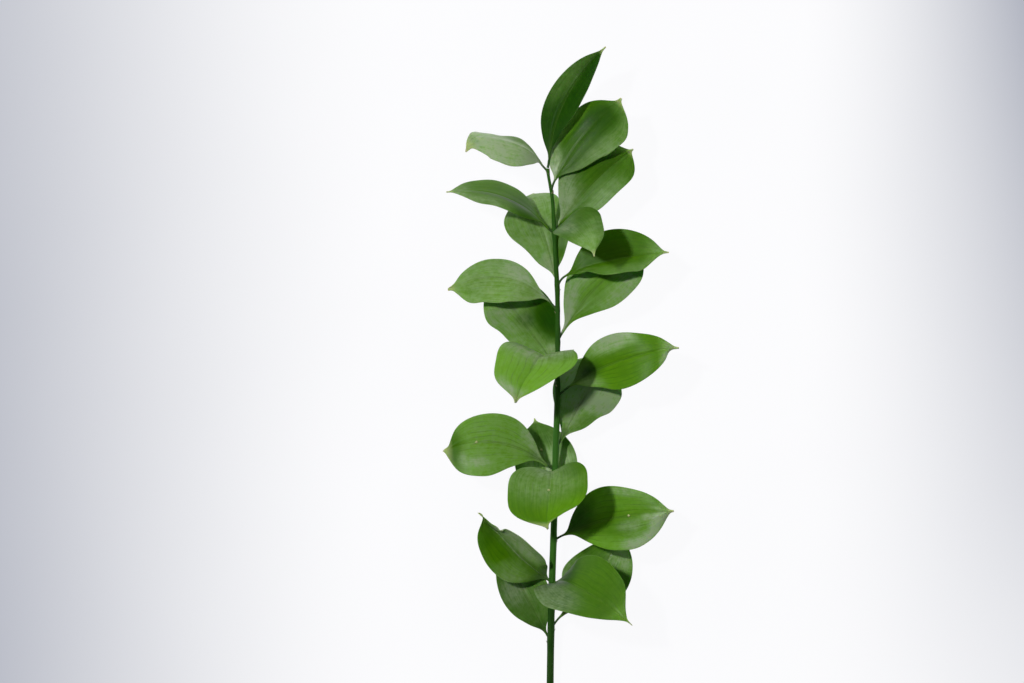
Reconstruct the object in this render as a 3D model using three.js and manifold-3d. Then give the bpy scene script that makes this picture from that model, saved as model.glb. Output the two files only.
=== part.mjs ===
/**
 * A cut stem of Israeli ruscus (Ruscus hypophyllum), lying on a flat surface.
 *
 * Millimetres, +Z up. The stem runs along +Y, from the slanted cut at -Y to the top leaf at +Y, and
 * rises gently from the cut end, which touches the surface at z = 0. The lowest leaves touch it too,
 * each on a small flat spot, and carry the rest. The origin is at the middle of the footprint.
 *
 * Every leaf grows from a node on the stem: a short stalk turns into a blade, which is bent along
 * its midrib and folded across it. The stem with its bract scales is one solid, and each leaf with
 * its stalk is another.
 */
import * as THREE from 'three';
import { mergeVertices } from 'three/addons/utils/BufferGeometryUtils.js';
import Module from 'manifold-3d';

const wasm = await Module();
wasm.setup();

// ---- Driving dimensions --------------------------------------------------------------------

const CUT_END_Y = -250; // where the stem's foot lies
const CUT_END_HEIGHT = 2.0; // the middle of the cut end above the surface
const STEM_SLOPE = 0.1; // rise of the stem per millimetre of its length
const STEM_TOP = 421; // height of the last node above the cut end
const CUT_SLANT = 0.55; // how far the cut leans along the stem, per millimetre across it
const STEM_SIDES = 8;
const NODE_SWELLING = 0.3; // extra radius of the stem at a node
const NODE_REACH = 4; // how far a node's swelling runs up and down the stem
const SEAT_GAP = 0.3; // between a leaf's stalk and the stem that carries it

/** The stem's middle line: [height above the cut end, sideways place]. */
const STEM_LINE = [
  [0, -6.9], [60, -6.8], [110, -6.3], [150, -5.5], [185, -4.4], [232, -3.3], [270, -2.3],
  [305, -2.0], [340, -2.3], [361, -3.4], [391, -4.9], [401, -5.6], [408, -6.6], [415, -8.0],
  [STEM_TOP, -8.7],
];

/** The stem's radius: [height above the cut end, radius]. */
const STEM_TAPER = [
  [0, 2.35], [110, 2.3], [185, 2.15], [262, 1.95], [300, 1.6], [360, 1.5], [391, 1.3],
  [408, 1.05], [STEM_TOP, 0.9],
];

const BRACT = { length: 4.2, width: 1.8, thickness: 0.7, lean: 18 }; // papery scale below a leaf
const BUD = { radius: 1.1, squash: 0.7 }; // flower bud on a midrib

const MIDRIB_THICKNESS = 0.95;
const MARGIN_THICKNESS = 0.65;
const STALK_WIDTH = 1.5;
const STALK_THICKNESS = 1.3;

/** Half of a blade's outline: [share of the length, share of the half width]. */
const OUTLINE = [
  [0, 0.04], [0.06, 0.13], [0.16, 0.5], [0.3, 0.88], [0.44, 1], [0.6, 0.93], [0.75, 0.7],
  [0.86, 0.42], [0.93, 0.17], [0.965, 0.07], [1, 0.02],
];
const OUTLINE_WIDEST = 0.44;

/** The same for a blade with a broad, blunt end. */
const BLUNT_OUTLINE = [
  [0, 0.04], [0.06, 0.14], [0.16, 0.52], [0.3, 0.88], [0.44, 1], [0.62, 0.98], [0.78, 0.86],
  [0.88, 0.62], [0.94, 0.32], [0.97, 0.1], [1, 0.02],
];

const HOOK_START = 0.82; // where along the midrib a hooked tip starts to turn down

/** Rows along the stalk and the blade, and points across it. */
const STALK_ROWS = [0, 0.35, 0.7];
const BLADE_ROWS = [0, 0.05, 0.11, 0.18, 0.27, 0.37, 0.48, 0.59, 0.7, 0.8, 0.88, 0.94, 1];
const ACROSS = [-1, -0.68, -0.34, 0, 0.34, 0.68, 1];

/**
 * The leaves, from the foot of the stem to its top. Angles are in degrees and sizes in millimetres.
 *
 *   node           height of the leaf's node above the cut end
 *   stalk, blade   [around, rise, length]: the way it points, around the stem from +X over +Z, and
 *                  its rise towards the stem's tip; a blade's direction is that of its chord
 *   half           [left, right] half width, seen from above with the tip pointing away
 *   roll           turn of the blade about its chord; 0 faces the stem's tip
 *   bend           how far the midrib turns over, from the base to the tip
 *   sweep          sideways bow of the midrib, to the right
 *   fold, curl     [left, right] slope of each half at the midrib, and how much it adds to that by
 *                  the margin
 *   widest         [left, right] where along its length each half is widest
 *   blunt          [left, right] how broad and blunt its end is, from 0 to 1
 *   twist          turn of the tip against the base
 *   hook           how far the last part of the tip turns down
 *   bud            place of a flower bud along the midrib, if the leaf has one
 *   lifts          [along, across, reach along, reach across, height]: local lifts of the blade off
 *                  the surface, or sags where the height is below 0; the first four are shares
 */
const LEAVES = [
  { node: 111, stalk: [-159, 58, 6], blade: [-159, 61, 68], half: [16, 18], roll: -75, bend: 20,
    sweep: 0, fold: [20, 15], curl: [10, 10], lifts: [[0.7, -1, 0.35, 0.9, 9]] },
  { node: 119, stalk: [-9, 52, 11], blade: [-17, 52, 70], half: [18.5, 21.5], roll: 78, bend: 20,
    sweep: 3, fold: [5, 5], curl: [5, 5], widest: [0.46, 0.5] },
  { node: 134, stalk: [62, 66, 19], blade: [45, -19, 77], half: [22.5, 28], roll: 40, bend: 80,
    sweep: 0, fold: [28, 12], curl: [0, 0], widest: [0.4, 0.33], blunt: [0.2, 0] },
  { node: 148, stalk: [153, 57, 5], blade: [164, 43, 66], half: [22, 18], roll: -95, bend: 10,
    sweep: 0, fold: [12, 66], curl: [0, 0], blunt: [0.3, 0] },
  { node: 178, stalk: [17, 29, 9], blade: [4, 13.5, 73], half: [20, 23], roll: 85, bend: 25,
    sweep: -3, fold: [4, 4], curl: [0, 0], widest: [0.4, 0.48], blunt: [0.2, 0.1],
    lifts: [[1, 0, 0.5, 3, 18]] },
  { node: 218, stalk: [96, 20, 12], blade: [95, -30, 74], half: [26, 26], roll: 0, bend: 95,
    sweep: 0, fold: [18, 12], curl: [0, 0], widest: [0.52, 0.54], blunt: [0.6, 1.4], bud: 0.6,
    lifts: [[1, 0, 0.5, 3, -13]] },
  { node: 197, stalk: [-98, 42, 6], blade: [-126, 70, 61], half: [20, 22], roll: -35, bend: 20,
    sweep: 0, fold: [10, 10], curl: [0, 0], bud: 0.62 },
  { node: 225, stalk: [159, 28, 7], blade: [171, 9, 68], half: [23, 19], roll: -80, bend: 30,
    sweep: 9, fold: [3, 3], curl: [0, 0], widest: [0.55, 0.5], blunt: [1.2, 0.5],
    bud: 0.72 },
  { node: 238, stalk: [-48, 52, 7], blade: [-37, 56, 67], half: [23, 20.5], roll: 62, bend: 15,
    sweep: 0, fold: [5, 5], curl: [0, 0], widest: [0.52, 0.52], blunt: [0.2, 0.6] },
  { node: 273, stalk: [19, 39, 12], blade: [7, 20, 75], half: [18.5, 19], roll: 80, bend: 25,
    sweep: -3.5, fold: [8, 8], curl: [0, 0], lifts: [[0.8, 0, 0.5, 3, 15]] },
  { node: 281, stalk: [108, 46, 15], blade: [112, -18, 77], half: [26, 25], roll: -8, bend: 110,
    sweep: 0, fold: [25, 25], curl: [-10, -10], blunt: [0.6, 0.3],
    lifts: [[1, 0, 0.5, 3, -12], [0.55, -1, 0.35, 0.9, -14]] },
  { node: 289, stalk: [-111, 36, 7], blade: [-158, 51, 74], half: [20.5, 23], roll: -75, bend: 15,
    sweep: 1, fold: [8, 3], curl: [0, 0], widest: [0.55, 0.5], lifts: [[1, 0, 0.5, 3, 23]] },
  { node: 309, stalk: [-48, 52, 7], blade: [-17, 44, 79], half: [21, 18.5], roll: 75, bend: 15,
    sweep: -5, fold: [5, 5], curl: [0, 0], widest: [0.5, 0.56], lifts: [[1, 0, 0.5, 3, 25], [0.8, 1, 0.4, 1, 4]] },
  { node: 329, stalk: [163, 47, 10], blade: [175, 7, 68], half: [20, 19.5], roll: -48, bend: 60,
    sweep: 6, fold: [-10, -10], curl: [0, 0], blunt: [0.7, 0],
    lifts: [[1, 0, 0.6, 3, -10]] },
  { node: 343, stalk: [29, 54, 11], blade: [8, 12.5, 69], half: [20, 20], roll: 58, bend: 10,
    sweep: -3, fold: [27, 27], curl: [0, 0], lifts: [[1, 0, 0.5, 3, -4]] },
  { node: 347, stalk: [-106, 51, 5.6], blade: [-114, 58, 76], half: [23.5, 20.5],
    roll: -28, bend: 103, sweep: 0, fold: [5, 5], curl: [0, 0], lifts: [[1, 0, 0.5, 3, 3]] },
  { node: 380, stalk: [-52, 51, 6.5], blade: [-6, 45, 70], half: [24, 17], roll: 88, bend: 15,
    sweep: -3, fold: [8, 8], curl: [0, 0], widest: [0.5, 0.46], blunt: [0, 1.3],
    lifts: [[0.8, 0, 0.4, 3, 6]] },
  { node: 380, stalk: [155, 31, 6], blade: [173, 19, 73], half: [20, 20], roll: -12, bend: 59,
    sweep: 0, fold: [8, 15], curl: [-45, 0], lifts: [[1, 0, 0.5, 3, -4]] },
  { node: 379, stalk: [77, 19, 9], blade: [64, -20, 62], half: [17, 18], roll: 35, bend: 85,
    sweep: -8, fold: [-5, 5], curl: [-20, 0], widest: [0.4, 0.44] },
  { node: 407, stalk: [54, 59, 8], blade: [2, 50, 67.5], half: [18.5, 21.5], roll: 88, bend: 10,
    sweep: -4.5, fold: [-8, 3], curl: [-34, 0], widest: [0.38, 0.46], blunt: [0, 1.3],
    lifts: [[0.65, -1, 0.2, 1, 2.5], [0.35, -1, 0.15, 0.6, -3]] },
  { node: 419.5, stalk: [152, 42, 6.5], blade: [155, 17, 53.5], half: [21, 17.5], roll: -44, bend: 62,
    sweep: 0, fold: [-12, -20], curl: [0, -10], widest: [0.48, 0.52], blunt: [0.8, 1.3],
    hook: 10 },
  { node: 421, stalk: [60, 76, 6.5], blade: [20, 61.5, 81.5], half: [11.7, 13], roll: 90, bend: 15,
    sweep: -7.5, fold: [22, 22], curl: [0, 0], widest: [0.42, 0.5],
    lifts: [[0.7, 0, 0.3, 3, -2]] },
];

// ---- Small helpers -------------------------------------------------------------------------

const rad = THREE.MathUtils.degToRad;
const UP_STEM = new THREE.Vector3(0, 1, 0);

/** A material in the part's own colours. */
function material(color, roughness) {
  return new THREE.MeshStandardMaterial({ color, roughness, metalness: 0, side: THREE.DoubleSide });
}

/** Reads a smooth curve through [x, y] points, as a function of x. */
function smooth(points) {
  const curve = new THREE.SplineCurve(points.map(([x, y]) => new THREE.Vector2(x, y)));
  const spans = points.length - 1;
  return (x) => {
    let span = 0;
    while (span < spans - 1 && x > points[span + 1][0]) span += 1;
    let low = span / spans;
    let high = (span + 1) / spans;
    for (let step = 0; step < 24; step += 1) {
      const middle = (low + high) / 2;
      if (curve.getPoint(middle).x < x) low = middle;
      else high = middle;
    }
    return curve.getPoint((low + high) / 2).y;
  };
}

const outline = smooth(OUTLINE);
const bluntOutline = smooth(BLUNT_OUTLINE);
const stemSideways = smooth(STEM_LINE);
const stemRadius = smooth(STEM_TAPER);

/** The direction that points `around` the stem and rises towards its tip. */
function direction(around, rise) {
  return new THREE.Vector3(
    Math.cos(rad(rise)) * Math.cos(rad(around)),
    Math.sin(rad(rise)),
    Math.cos(rad(rise)) * Math.sin(rad(around)),
  );
}

/** The middle of the stem, `height` above its cut end. */
function stemCentre(height) {
  return new THREE.Vector3(
    stemSideways(height),
    CUT_END_Y + height,
    CUT_END_HEIGHT + STEM_SLOPE * height,
  );
}

/** A vector with its share along a unit `axis` taken out, at unit length. */
function square(vector, axis) {
  return vector.clone().addScaledVector(axis, -vector.dot(axis)).normalize();
}

/** A closed skin over rings of equal length, capped at both ends by strips across the ring. */
function loft(rings, flipDiagonal = () => false) {
  const sides = rings[0].length;
  const corners = [];
  const put = (...points) => points.forEach((point) => corners.push(point.x, point.y, point.z));
  for (let row = 0; row < rings.length - 1; row += 1) {
    for (let side = 0; side < sides; side += 1) {
      const next = (side + 1) % sides;
      const [a, b, c, d] = [
        rings[row][side], rings[row][next], rings[row + 1][next], rings[row + 1][side],
      ];
      if (flipDiagonal(side)) put(a, b, d, b, c, d);
      else put(a, b, c, a, c, d);
    }
  }
  const first = rings[0];
  const last = rings[rings.length - 1];
  for (let side = 0; side < sides / 2 - 1; side += 1) {
    const across = sides - 1 - side;
    put(first[side], first[across], first[side + 1]);
    if (across - 1 > side + 1) put(first[side + 1], first[across], first[across - 1]);
    put(last[side], last[side + 1], last[across]);
    if (across - 1 > side + 1) put(last[side + 1], last[across - 1], last[across]);
  }
  const geometry = new THREE.BufferGeometry();
  geometry.setAttribute('position', new THREE.Float32BufferAttribute(corners, 3));
  return geometry;
}

/** Turns a closed geometry into a solid that can be joined and cut. */
function solid(geometry) {
  const bare = geometry.index ? geometry.toNonIndexed() : geometry.clone();
  bare.deleteAttribute('normal');
  bare.deleteAttribute('uv');
  const merged = mergeVertices(bare, 1e-4);
  return new wasm.Manifold(new wasm.Mesh({
    numProp: 3,
    vertProperties: new Float32Array(merged.attributes.position.array),
    triVerts: new Uint32Array(merged.index.array),
  }));
}

/** Turns a solid back into a geometry. */
function geometryOf(body) {
  const mesh = body.getMesh();
  const geometry = new THREE.BufferGeometry();
  geometry.setAttribute('position', new THREE.BufferAttribute(mesh.vertProperties, 3));
  geometry.setIndex(new THREE.BufferAttribute(mesh.triVerts, 1));
  return geometry;
}

// ---- Stem ----------------------------------------------------------------------------------

/** The stem as a bent, tapering rod, `grow` fatter than it is. */
function stemRod(grow = 0) {
  const heights = [0, 30, 60, 90];
  for (const { node } of LEAVES) heights.push(node - NODE_REACH, node, node + NODE_REACH);
  const rows = heights
    .filter((height) => height < STEM_TOP + 1)
    .sort((a, b) => a - b)
    .filter((height, i, all) => i === 0 || height - all[i - 1] > 1.6);
  const nodeHeights = LEAVES.map(({ node }) => node);
  const rings = rows.map((height) => {
    const nearest = Math.min(...nodeHeights.map((node) => Math.abs(node - height)));
    const swelling = NODE_SWELLING * Math.max(0, 1 - nearest / NODE_REACH);
    const radius = stemRadius(Math.min(height, STEM_TOP)) + swelling + grow;
    const centre = stemCentre(Math.min(height, STEM_TOP));
    const lean = height === 0 ? CUT_SLANT : 0;
    return Array.from({ length: STEM_SIDES }, (_, side) => {
      const turn = rad((360 * (side + 0.5)) / STEM_SIDES);
      const out = new THREE.Vector3(Math.cos(turn) * radius, 0, -Math.sin(turn) * radius);
      out.y = lean * out.z;
      return out.add(centre);
    });
  });
  return solid(loft(rings));
}

/** The papery scale under one leaf, `grow` larger all round. */
function bract({ node, stalk: [around] }, grow = 0) {
  const { length, width, thickness, lean } = BRACT;
  const shape = new THREE.Shape();
  shape.moveTo(-width / 2 - grow, -grow);
  shape.lineTo(width / 2 + grow, -grow);
  shape.lineTo(width / 2 + grow, length * 0.55);
  shape.lineTo(0.2 + grow, length + grow);
  shape.lineTo(-0.2 - grow, length + grow);
  shape.lineTo(-width / 2 - grow, length * 0.55);
  const geometry = new THREE.ExtrudeGeometry(shape, {
    depth: thickness + 2 * grow, bevelEnabled: false,
  });
  geometry.translate(0, 0, -grow);
  const out = direction(around, 0);
  const along = UP_STEM.clone().applyAxisAngle(out.clone().cross(UP_STEM).negate(), rad(lean));
  const face = square(out, along);
  const side = along.clone().cross(face);
  const foot = stemCentre(node - length * 0.8).addScaledVector(out, stemRadius(node) * 0.72);
  geometry.applyMatrix4(new THREE.Matrix4().makeBasis(side, along, face).setPosition(foot));
  return solid(geometry);
}

// ---- Leaves --------------------------------------------------------------------------------

/** The blade's own frame at its chord: the way it points, up off its face, and to its right. */
function bladeFrame({ blade: [around, rise], roll }) {
  const along = direction(around, rise);
  const level = square(UP_STEM, along);
  const up = level.applyAxisAngle(along, rad(roll));
  return { along, up, right: along.clone().cross(up) };
}

/** Where the blade starts, at the end of the leaf's stalk. */
function bladeBase({ node, stalk: [around, rise, length] }) {
  return stemCentre(node).addScaledVector(direction(around, rise), length);
}

/** A point on the midrib, a share `u` of the way from the base to the tip. */
function midrib(leaf, u) {
  const { along, up, right } = bladeFrame(leaf);
  const { blade: [, , length], bend, sweep, hook = 0 } = leaf;
  const turn = rad(Math.abs(bend) < 0.5 ? 0.5 : bend);
  const start = turn / 2;
  const here = turn * (0.5 - u);
  const past = Math.max(0, (u - HOOK_START) / (1 - HOOK_START));
  return bladeBase(leaf)
    .addScaledVector(along, (length / turn) * (Math.sin(start) - Math.sin(here)))
    .addScaledVector(up, (length / turn) * (Math.cos(here) - Math.cos(start)) - hook * past * past)
    .addScaledVector(right, sweep * 4 * u * (1 - u));
}

/** The blade's frame at `u`: along the midrib, up off the face and to the right. */
function frameAt(leaf, u) {
  const step = 0.01;
  const along = midrib(leaf, u + step).sub(midrib(leaf, u - step)).normalize();
  const up = square(bladeFrame(leaf).up, along);
  up.applyAxisAngle(along, rad((leaf.twist ?? 0) * (u - 0.5)));
  return { along, up, right: along.clone().cross(up) };
}

/** Half width of the blade at `u`, with the outline's widest place moved to the leaf's own. */
function halfWidth(leaf, u, side) {
  const { half, widest = [OUTLINE_WIDEST, OUTLINE_WIDEST], blunt = [0, 0] } = leaf;
  const place = u ** (Math.log(OUTLINE_WIDEST) / Math.log(widest[side]));
  const share = THREE.MathUtils.lerp(outline(place), bluntOutline(place), blunt[side]);
  return half[side] * Math.max(share, 0.02);
}

/** How far a leaf's lifts raise it, a share `u` along its midrib and a share `v` across it. */
function raised({ lifts = [] }, u, v) {
  return lifts.reduce((sum, [along, across, reachAlong, reachAcross, height]) => {
    const far = ((u - along) / reachAlong) ** 2 + ((v - across) / reachAcross) ** 2;
    return sum + height * Math.exp(-far);
  }, 0);
}

/** One ring of the leaf: its face from left to right, then its back from right to left. */
function ring(centre, { up, right }, widths, fold, curl, middle, margin, lifted = () => 0) {
  const face = [];
  const back = [];
  for (const v of ACROSS) {
    const side = v < 0 ? 0 : 1;
    const width = widths[side];
    const slope = rad(fold[side]);
    const gain = rad(Math.abs(curl[side]) < 0.5 ? 0.5 : curl[side]);
    const reach = Math.abs(v);
    const across = (width / gain) * (Math.sin(slope + gain * reach) - Math.sin(slope));
    const lift = (width / gain) * (Math.cos(slope) - Math.cos(slope + gain * reach));
    const tilt = v === 0 ? 0 : (slope + gain * reach) * Math.sign(v);
    const normal = up.clone().multiplyScalar(Math.cos(tilt))
      .addScaledVector(right, -Math.sin(tilt));
    const point = centre.clone()
      .addScaledVector(right, across * Math.sign(v))
      .addScaledVector(up, lift);
    point.z += lifted(v);
    const half = (middle + (margin - middle) * reach) / 2;
    face.push(point.clone().addScaledVector(normal, half));
    back.unshift(point.clone().addScaledVector(normal, -half));
  }
  return [...face, ...back];
}

/** The whole leaf as rings, from inside the stem to the tip. */
function leafRings(leaf) {
  const root = stemCentre(leaf.node);
  const base = bladeBase(leaf);
  const start = frameAt(leaf, 0);
  const bow = base.clone().addScaledVector(start.along, -0.45 * leaf.stalk[2]);
  const path = new THREE.QuadraticBezierCurve3(root, bow, base);
  const rings = STALK_ROWS.map((t) => {
    const along = path.getTangent(t);
    const up = square(start.up, along);
    const frame = { along, up, right: along.clone().cross(up) };
    const half = STALK_WIDTH / 2;
    return ring(path.getPoint(t), frame, [half, half], [0, 0], [0, 0],
      STALK_THICKNESS, STALK_THICKNESS * 0.6);
  });
  for (const u of BLADE_ROWS) {
    const opening = Math.min(1, u / 0.2); // the fold and the curl grow in past the narrow base
    const widths = [0, 1].map((side) => Math.max(halfWidth(leaf, u, side), 0.45));
    const scale = (angles) => angles.map((angle) => angle * opening);
    const thickening = Math.max(0, 1 - u / 0.15);
    rings.push(ring(midrib(leaf, u), frameAt(leaf, u), widths, scale(leaf.fold),
      scale(leaf.curl),
      MIDRIB_THICKNESS + (STALK_THICKNESS - MIDRIB_THICKNESS) * thickening, MARGIN_THICKNESS,
      (v) => raised(leaf, u, v)));
  }
  return rings;
}

/** One leaf as a solid, before it is seated on the stem. */
function leafBlank(leaf) {
  const last = ACROSS.length - 1;
  // The halves mirror each other, and the back is split the way the face is.
  const flip = (side) => {
    if (side < last) return side >= last / 2;
    if (side > last && side < 2 * last + 1) return 2 * last - side < last / 2;
    return false;
  };
  let blank = solid(loft(leafRings(leaf), flip));
  if (leaf.bud) {
    const { up } = frameAt(leaf, leaf.bud);
    const bud = new THREE.SphereGeometry(BUD.radius, 8, 5);
    bud.scale(1, 1, BUD.squash);
    bud.applyQuaternion(new THREE.Quaternion().setFromUnitVectors(new THREE.Vector3(0, 0, 1), up));
    const place = midrib(leaf, leaf.bud).addScaledVector(up, MIDRIB_THICKNESS * 0.7);
    bud.translate(place.x, place.y, place.z + raised(leaf, leaf.bud, 0));
    blank = blank.add(solid(bud));
  }
  return blank;
}

/** Everything below the surface, as far as a leaf could reach. */
function underSurface() {
  const slab = new THREE.BoxGeometry(400, 800, 50);
  slab.translate(0, 0, -25);
  return solid(slab);
}

// ---- The part ------------------------------------------------------------------------------

const STEM_GREEN = material(0x2c4a1a, 0.55);
const LEAF_GREENS = [0x3f7a1e, 0x4a8526, 0x376e1a].map((color) => material(color, 0.42));

const part = new THREE.Group();

let stem = stemRod();
let seat = stemRod(SEAT_GAP);
for (const leaf of LEAVES) {
  stem = stem.add(bract(leaf));
  seat = seat.add(bract(leaf, SEAT_GAP));
}
const ground = underSurface();
stem = stem.subtract(ground);

const stemMesh = new THREE.Mesh(geometryOf(stem), STEM_GREEN);
stemMesh.name = 'stem';
part.add(stemMesh);

LEAVES.forEach((leaf, i) => {
  const body = leafBlank(leaf).subtract(seat).subtract(ground);
  const mesh = new THREE.Mesh(geometryOf(body), LEAF_GREENS[i % LEAF_GREENS.length]);
  mesh.name = `leaf_${String(i + 1).padStart(2, '0')}`;
  part.add(mesh);
});

export default part;
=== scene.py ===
"""A cut stem of Israeli ruscus, laid on a pale surface under soft studio light.

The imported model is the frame. The stem runs along +Y, the surface is at z = 0 and the finished
pieces ride on its one body. Sizes are in millimetres and angles in degrees, unless a name says
otherwise; meshes are built in millimetres and set down in metres.
"""
import logging
import math
from collections.abc import Callable, Mapping, Sequence
from dataclasses import dataclass, field, replace
from enum import Enum
from typing import Any, Union

import bpy
import numpy as np
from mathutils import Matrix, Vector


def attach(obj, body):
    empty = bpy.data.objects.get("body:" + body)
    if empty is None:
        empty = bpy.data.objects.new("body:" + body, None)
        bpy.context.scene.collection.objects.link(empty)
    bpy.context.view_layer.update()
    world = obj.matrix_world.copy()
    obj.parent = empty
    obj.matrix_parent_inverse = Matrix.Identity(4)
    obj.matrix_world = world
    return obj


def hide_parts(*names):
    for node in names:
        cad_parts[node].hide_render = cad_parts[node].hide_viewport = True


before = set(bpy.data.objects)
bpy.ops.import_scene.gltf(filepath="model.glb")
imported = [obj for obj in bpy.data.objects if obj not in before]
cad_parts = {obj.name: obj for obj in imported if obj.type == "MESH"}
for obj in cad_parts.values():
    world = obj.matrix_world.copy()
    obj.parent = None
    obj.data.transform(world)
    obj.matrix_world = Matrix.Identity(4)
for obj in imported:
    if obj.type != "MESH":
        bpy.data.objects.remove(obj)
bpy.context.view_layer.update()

LOG = logging.getLogger("ruscus")

MM = 0.001
BODY = "root"

Colour = tuple[float, float, float]
Point = np.ndarray
Pair = tuple[float, float]

CURVE_STEPS = 40  # points drawn from one given point of a smooth curve to the next


# ---- Small tools ---------------------------------------------------------------------------------


class Side(Enum):
    """The two halves of a blade, seen from its face with the tip pointing away."""

    LEFT = 0
    RIGHT = 1


class Slot(Enum):
    """The finishes that the part's record names."""

    STEM = "stem_green"
    LEAF = "leaf_green"
    LIGHT_LEAF = "leaf_light_green"
    DEEP_LEAF = "leaf_deep_green"


def smooth(points: Sequence[Pair]) -> Callable[[np.ndarray], np.ndarray]:
    """Draws a smooth curve through points and reads it as a function of the first coordinate.

    Args:
        points: Pairs of (place, value), by rising place.

    Returns:
        A function from places to values.
    """
    line = np.array(points, dtype=float)
    padded = np.vstack([line[:1], line, line[-1:]])
    t = np.linspace(0, 1, CURVE_STEPS)[:, None]
    runs = []
    for before, start, end, after in zip(padded, padded[1:], padded[2:], padded[3:]):
        leave, arrive = (end - before) / 2, (after - start) / 2
        runs.append((2 * start - 2 * end + leave + arrive) * t**3
                    + (3 * end - 3 * start - 2 * leave - arrive) * t**2 + leave * t + start)
    curve = np.vstack(runs)
    return lambda place: np.interp(place, curve[:, 0], curve[:, 1])


def unit(vector: Point) -> Point:
    """A vector at unit length."""
    return vector / np.linalg.norm(vector)


def square(vector: Point, axis: Point) -> Point:
    """The share of a vector that is square to a unit axis, at unit length."""
    return unit(vector - axis * np.dot(vector, axis))


def turned(vector: Point, axis: Point, degrees: float) -> Point:
    """Turns a vector about a unit axis.

    Args:
        vector: The vector.
        axis: The axis, at unit length.
        degrees: How far it turns.

    Returns:
        The turned vector.
    """
    angle = math.radians(degrees)
    return (vector * math.cos(angle) + np.cross(axis, vector) * math.sin(angle)
            + axis * np.dot(axis, vector) * (1 - math.cos(angle)))


def direction(around: float, rise: float) -> Point:
    """The way that points `around` the stem, from +X over +Z, and rises towards its tip."""
    a, r = math.radians(around), math.radians(rise)
    return np.array([math.cos(r) * math.cos(a), math.sin(r), math.cos(r) * math.sin(a)])


class Bench:
    """The few editing steps that every piece needs."""

    @staticmethod
    def take(piece: bpy.types.Object) -> None:
        """Selects one piece alone and makes it the active one.

        Args:
            piece: The piece.
        """
        bpy.ops.object.select_all(action="DESELECT")
        piece.select_set(True)
        bpy.context.view_layer.objects.active = piece

    @staticmethod
    def start(name: str) -> bpy.types.Object:
        """Names the primitive that was just added.

        Args:
            name: Its name, and its mesh's.

        Returns:
            The primitive.
        """
        piece = bpy.context.active_object
        piece.name = piece.data.name = name
        return piece

    @staticmethod
    def edit(piece: bpy.types.Object, mode: str = "FACE") -> None:
        """Opens a piece for editing with nothing selected.

        Args:
            piece: The piece.
            mode: What is going to be selected: "VERT", "EDGE" or "FACE".
        """
        Bench.take(piece)
        bpy.ops.object.mode_set(mode="EDIT")
        bpy.ops.mesh.select_mode(type=mode)
        bpy.ops.mesh.select_all(action="DESELECT")

    @staticmethod
    def pick_faces(piece: bpy.types.Object, test: Callable[[Any], bool]) -> None:
        """Selects faces of the piece being edited.

        Args:
            piece: The piece.
            test: Says of a face whether it is selected.
        """
        bpy.ops.object.mode_set(mode="OBJECT")
        for face in piece.data.polygons:
            face.select = bool(test(face))
        bpy.ops.object.mode_set(mode="EDIT")

    @staticmethod
    def done() -> None:
        """Leaves edit mode."""
        bpy.ops.object.mode_set(mode="OBJECT")

    @staticmethod
    def copy(piece: bpy.types.Object, name: str) -> bpy.types.Object:
        """Copies a piece with a mesh of its own.

        Args:
            piece: The piece.
            name: The copy's name.

        Returns:
            The copy.
        """
        twin = piece.copy()
        twin.data = piece.data.copy()
        twin.name = twin.data.name = name
        bpy.context.collection.objects.link(twin)
        return twin

    @staticmethod
    def apply(piece: bpy.types.Object) -> None:
        """Applies every modifier of a piece, in order."""
        Bench.take(piece)
        for modifier in list(piece.modifiers):
            bpy.ops.object.modifier_apply(modifier=modifier.name)

    @staticmethod
    def points(piece: bpy.types.Object) -> np.ndarray:
        """Reads where a mesh's vertices are.

        Args:
            piece: The piece.

        Returns:
            Their places, one row each.
        """
        flat = np.empty(len(piece.data.vertices) * 3)
        piece.data.vertices.foreach_get("co", flat)
        return flat.reshape(-1, 3)

    @staticmethod
    def place(piece: bpy.types.Object, points: np.ndarray) -> None:
        """Moves a mesh's vertices to new places, one row each."""
        piece.data.vertices.foreach_set("co", points.ravel())
        piece.data.update()

    @staticmethod
    def tag(piece: bpy.types.Object, name: str, values: np.ndarray) -> None:
        """Writes one number per vertex into a named attribute."""
        layer = piece.data.attributes.new(name, "FLOAT", "POINT")
        layer.data.foreach_set("value", np.asarray(values, dtype=np.float32))

    @staticmethod
    def dress(piece: bpy.types.Object, slot: Slot, nodes: Sequence[str]) -> None:
        """Shades a piece smooth, rides it on the body and lets it stand for its CAD nodes.

        Args:
            piece: The finished piece.
            slot: Not used.
            nodes: The CAD nodes that it replaces.
        """
        Bench.take(piece)
        bpy.ops.object.shade_smooth()
        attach(piece, BODY)
        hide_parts(*nodes)
        LOG.info("%s: %d faces", piece.name, len(piece.data.polygons))


# ---- Shader kit ----------------------------------------------------------------------------------


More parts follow.
